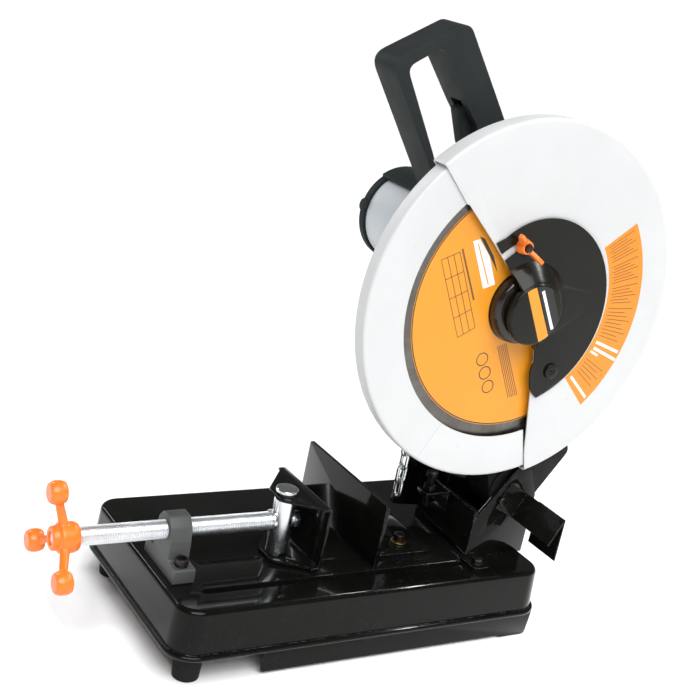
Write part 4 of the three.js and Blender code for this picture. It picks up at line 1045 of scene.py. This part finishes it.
LOOP = [(-176, 216, 15), (-97.5, 263, 13), (-8, 147, 10), (8, 100, 14), (-20, 58), (-74, 68, 6), (-88, 94, 8)]
WINDOW = [(-157, 213, 10), (-122, 236, 8), (-77, 183, 3), (-63, 168, 3), (-47, 131, 8), (-58, 108, 8),
          (-90, 108, 8)]
GRIP_MID = 11.0


def make_handle():
    black = MAT["black_plastic"]
    obj = solid("handle", "X", LOOP, -8, 30, HEAD, black)
    boolean(obj, solid("tool", "X", WINDOW, -12, 34, HEAD, black))
    for centre, radius in ((MOTOR, 55.3), ((0, 0), 63.3)):
        drill(obj, "X", centre, radius, -12, 34, HEAD, 80)
    bevel(obj, 5.5, 6, 35)
    smooth(obj, 40)
    pocket = [(-90, 183), (-66, 196), (-19, 143), (-33, 120), (-60, 126)]
    boolean(obj, solid("tool", "X", pocket, GRIP_MID - 9, GRIP_MID + 9, HEAD, black))
    # two halves with a 0.3 mm seam
    plane_x = (GRIP_MID + HEAD.x) * MM
    for node, side in (("handle_half_right", 1), ("handle_half_left", -1)):
        bm = bmesh.new()
        bm.from_mesh(obj.data)
        halved = bmesh.ops.bisect_plane(
            bm, geom=bm.verts[:] + bm.edges[:] + bm.faces[:], plane_co=(plane_x + side * 0.00015, 0, 0),
            plane_no=(1, 0, 0), clear_inner=side > 0, clear_outer=side < 0)
        rim = [e for e in halved["geom_cut"] if isinstance(e, bmesh.types.BMEdge)]
        bmesh.ops.triangle_fill(bm, use_beauty=True, edges=rim)
        half = mesh_object(node + "_look", bm, black)
        smooth(half, 35)
        place(half, node)
    discard(obj)
    trigger = solid("trigger_look", "X", [
        (-80, 178, 3), (-73, 184, 3), (-62, 171), (-38, 139, 3), (-41, 126, 4), (-52, 128, 4),
        (-66, 146, 10)], GRIP_MID - 8, GRIP_MID + 8, HEAD, black)
    bevel(trigger, 2.0, 4, 35)
    smooth(trigger, 40)
    place(trigger, "trigger")


# ------ chain

CHAIN = Vector((0.0, -35.0, -187.5))           # the pin it hangs on


def make_chain():
    """Four welded links, every other one turned by a quarter."""
    wire, bend, straight = 2.0, 5.0, 10.8
    pitch = straight + 2 * bend - 2 * wire - 0.3
    for k in range(4):
        high = 2.5 + wire + 0.3 - k * pitch - bend
        low = high - straight
        loops = []
        for u, w in arc(0, high, bend, 0, 180, 12) + arc(0, low, bend, 180, 360, 12):
            out = Vector((u, w - (high if w > high else max(w, low)))).normalized()
            loop = []
            for s in range(16):
                a = 2 * math.pi * s / 16
                side, reach = wire * math.sin(a), wire * math.cos(a)
                du, dz = u + reach * out.x, w + reach * out.y
                loop.append(Vector((du, side, dz) if k % 2 else (side, du, dz)) + CHAIN)
            loops.append(loop)
        bm = bmesh.new()
        loft(bm, loops, closed=True)
        obj = new_object(f"chain_link_{k + 1}_look", bm, HEAD, MAT["zinc"])
        smooth(obj, 60)
        place(obj, f"chain_link_{k + 1}")


# ------ simple pieces


def make_small_pieces():
    hex_bolt("upright_bolt_front", (95, 356), 3.5, DECK + 4.3, MAT["black_bolt"], 5)
    hex_bolt("upright_bolt_left", (-12, 415), 4.5, DECK + 5.3, MAT["zinc"], 20)
    hex_bolt("upright_bolt_right", (54, 415), 4.5, DECK + 5.3, MAT["zinc"], 40)
    cap_screw("fence_pivot_bolt", (35.5, 291.7), 6.2, DECK + 5.8, "bronze")
    lock = middle("fence_lock_bolt") / MM - STATION
    cap_screw("fence_lock_bolt", (lock.x, lock.y), 6.2, DECK + 5.8, "zinc")
    for node, mat, width in (
            ("side_plate", "table_paint", 0.6), ("upright_bracket", "table_paint", 0.8),
            ("chip_deflector", "table_paint", 0.5), ("fence", "table_paint", 0.8), ("arm", "cast_black", 2.2),
            ("chain_bracket", "zinc", 0.6), ("pivot_shaft", "black_bolt", 0.8), ("pivot_nut", "zinc", 0.5),
            ("depth_stop_bolt", "black_bolt", 0.4), ("depth_stop_locknut", "black_bolt", 0.4),
            ("deflector_screw", "black_bolt", 0.5), ("brush_cap_rear", "black_plastic", 0.25),
            ("brush_cap_front", "black_plastic", 0.25), ("cord_gland", "rubber", 0.6),
            ("cover_stud", "black_bolt", 0.6), ("return_spring", "spring_steel", 0.0)):
        remake(node, MAT[mat], width)
    for node in ("rotor", "rotor_bearing", "spindle_gear", "spindle", "bearing_rear", "bearing_front",
                 "inner_flange", "pivot_bush"):
        obj = frame["nodes"][node]
        obj.data.materials.clear()
        obj.data.materials.append(MAT["bronze" if node == "pivot_bush" else "steel"])


for make in (make_table, make_feet, make_vise_screw, make_star_handle, make_nut_block, make_jaw_pin,
             make_jaw, make_upper_guard, make_ring_guard, make_cover, make_wing_nut, make_blade,
             make_flanges, make_blade_label, make_guard_label, make_badge, make_motor, make_gearbox,
             make_handle, make_chain, make_small_pieces):
    make()

# ------ stage, light and camera


FLOOR_HALF = 40.0         # metres, so that its edge is lost in the horizon's band
HORIZON = (0.07, 0.15, 1.04, 0.13)     # where the band ends and the sky starts, and their strengths
SUN_FROM, SUN_POWER, SUN_SPREAD = (0.56, -0.12, 0.76), 3.7, 50 * RAD
EYE = (1026.4, -500.9, 691.7)          # millimetres from the table's drawing origin
# name, place, target, width, height and power
AREA_LIGHTS = (
    ("strip_back", (-0.1, 1.2, 1.75), (0, 0, 0.15), 1.6, 0.04, 24),
    ("strip_left", (-1.7, -0.65, 1.2), (0, 0, 0.1), 0.05, 1.2, 8),
    ("key", (1.5, -1.5, 1.9), (0, 0, 0.25), 0.12, 0.12, 6),
)


def make_stage():
    bm = bmesh.new()
    bmesh.ops.create_grid(bm, x_segments=2, y_segments=2, size=FLOOR_HALF)
    n = Nodes("pale_floor")
    n.set(Base_Color=(0.97, 0.97, 0.97, 1.0), Roughness=0.8, Specular_IOR_Level=0.1)
    floor = mesh_object("floor", bm, n.mat)
    floor.location = (0, 0, -0.0002)


def add_light(data, at, target):
    obj = bpy.data.objects.new(data.name, data)
    bpy.context.scene.collection.objects.link(obj)
    obj.location = at
    obj.rotation_euler = (Vector(target) - Vector(at)).to_track_quat("-Z", "Y").to_euler()


def make_light():
    world = bpy.data.worlds.new("studio")
    bpy.context.scene.world = world
    world.use_nodes = True
    tree = world.node_tree
    back = tree.nodes["Background"]
    back.inputs[0].default_value = (1, 1, 1, 1)
    # a bright band at the horizon carries the floor's white on; the sky above it is dim
    direction = tree.nodes.new("ShaderNodeTexCoord")
    height = tree.nodes.new("ShaderNodeSeparateXYZ")
    band = tree.nodes.new("ShaderNodeMapRange")
    set_range(band, *HORIZON)
    tree.links.new(direction.outputs["Generated"], height.inputs[0])
    tree.links.new(height.outputs["Z"], band.inputs["Value"])
    tree.links.new(band.outputs["Result"], back.inputs[1])
    sun = bpy.data.lights.new("sun", "SUN")
    sun.energy = SUN_POWER
    sun.angle = SUN_SPREAD
    add_light(sun, SUN_FROM, (0, 0, 0))
    # the strips are narrow, for the rounded edges to reflect
    for name, at, target, width, tall, power in AREA_LIGHTS:
        data = bpy.data.lights.new(name, "AREA")
        data.shape = "RECTANGLE"
        data.size = width
        data.size_y = tall
        data.energy = power
        add_light(data, at, target)


def make_camera():
    """The viewpoint: the operator's right, in front, a little above the table."""
    right = (0.50274, 0.84254, 0.19334)
    up = (-0.35950, 0.00038, 0.93314)
    back = (0.78614, -0.53863, 0.30309)
    at = (Vector(EYE) + STATION) * MM
    data = bpy.data.cameras.new("camera")
    data.lens = 65.42
    data.sensor_width = 36.0
    data.clip_start = 0.05
    data.clip_end = 120
    obj = bpy.data.objects.new("camera", data)
    bpy.context.scene.collection.objects.link(obj)
    obj.matrix_world = Matrix([(right[k], up[k], back[k], at[k]) for k in range(3)] + [(0, 0, 0, 1)])
    bpy.context.scene.camera = obj


make_stage()
make_light()
make_camera()
bpy.context.scene.view_settings.view_transform = "Standard"
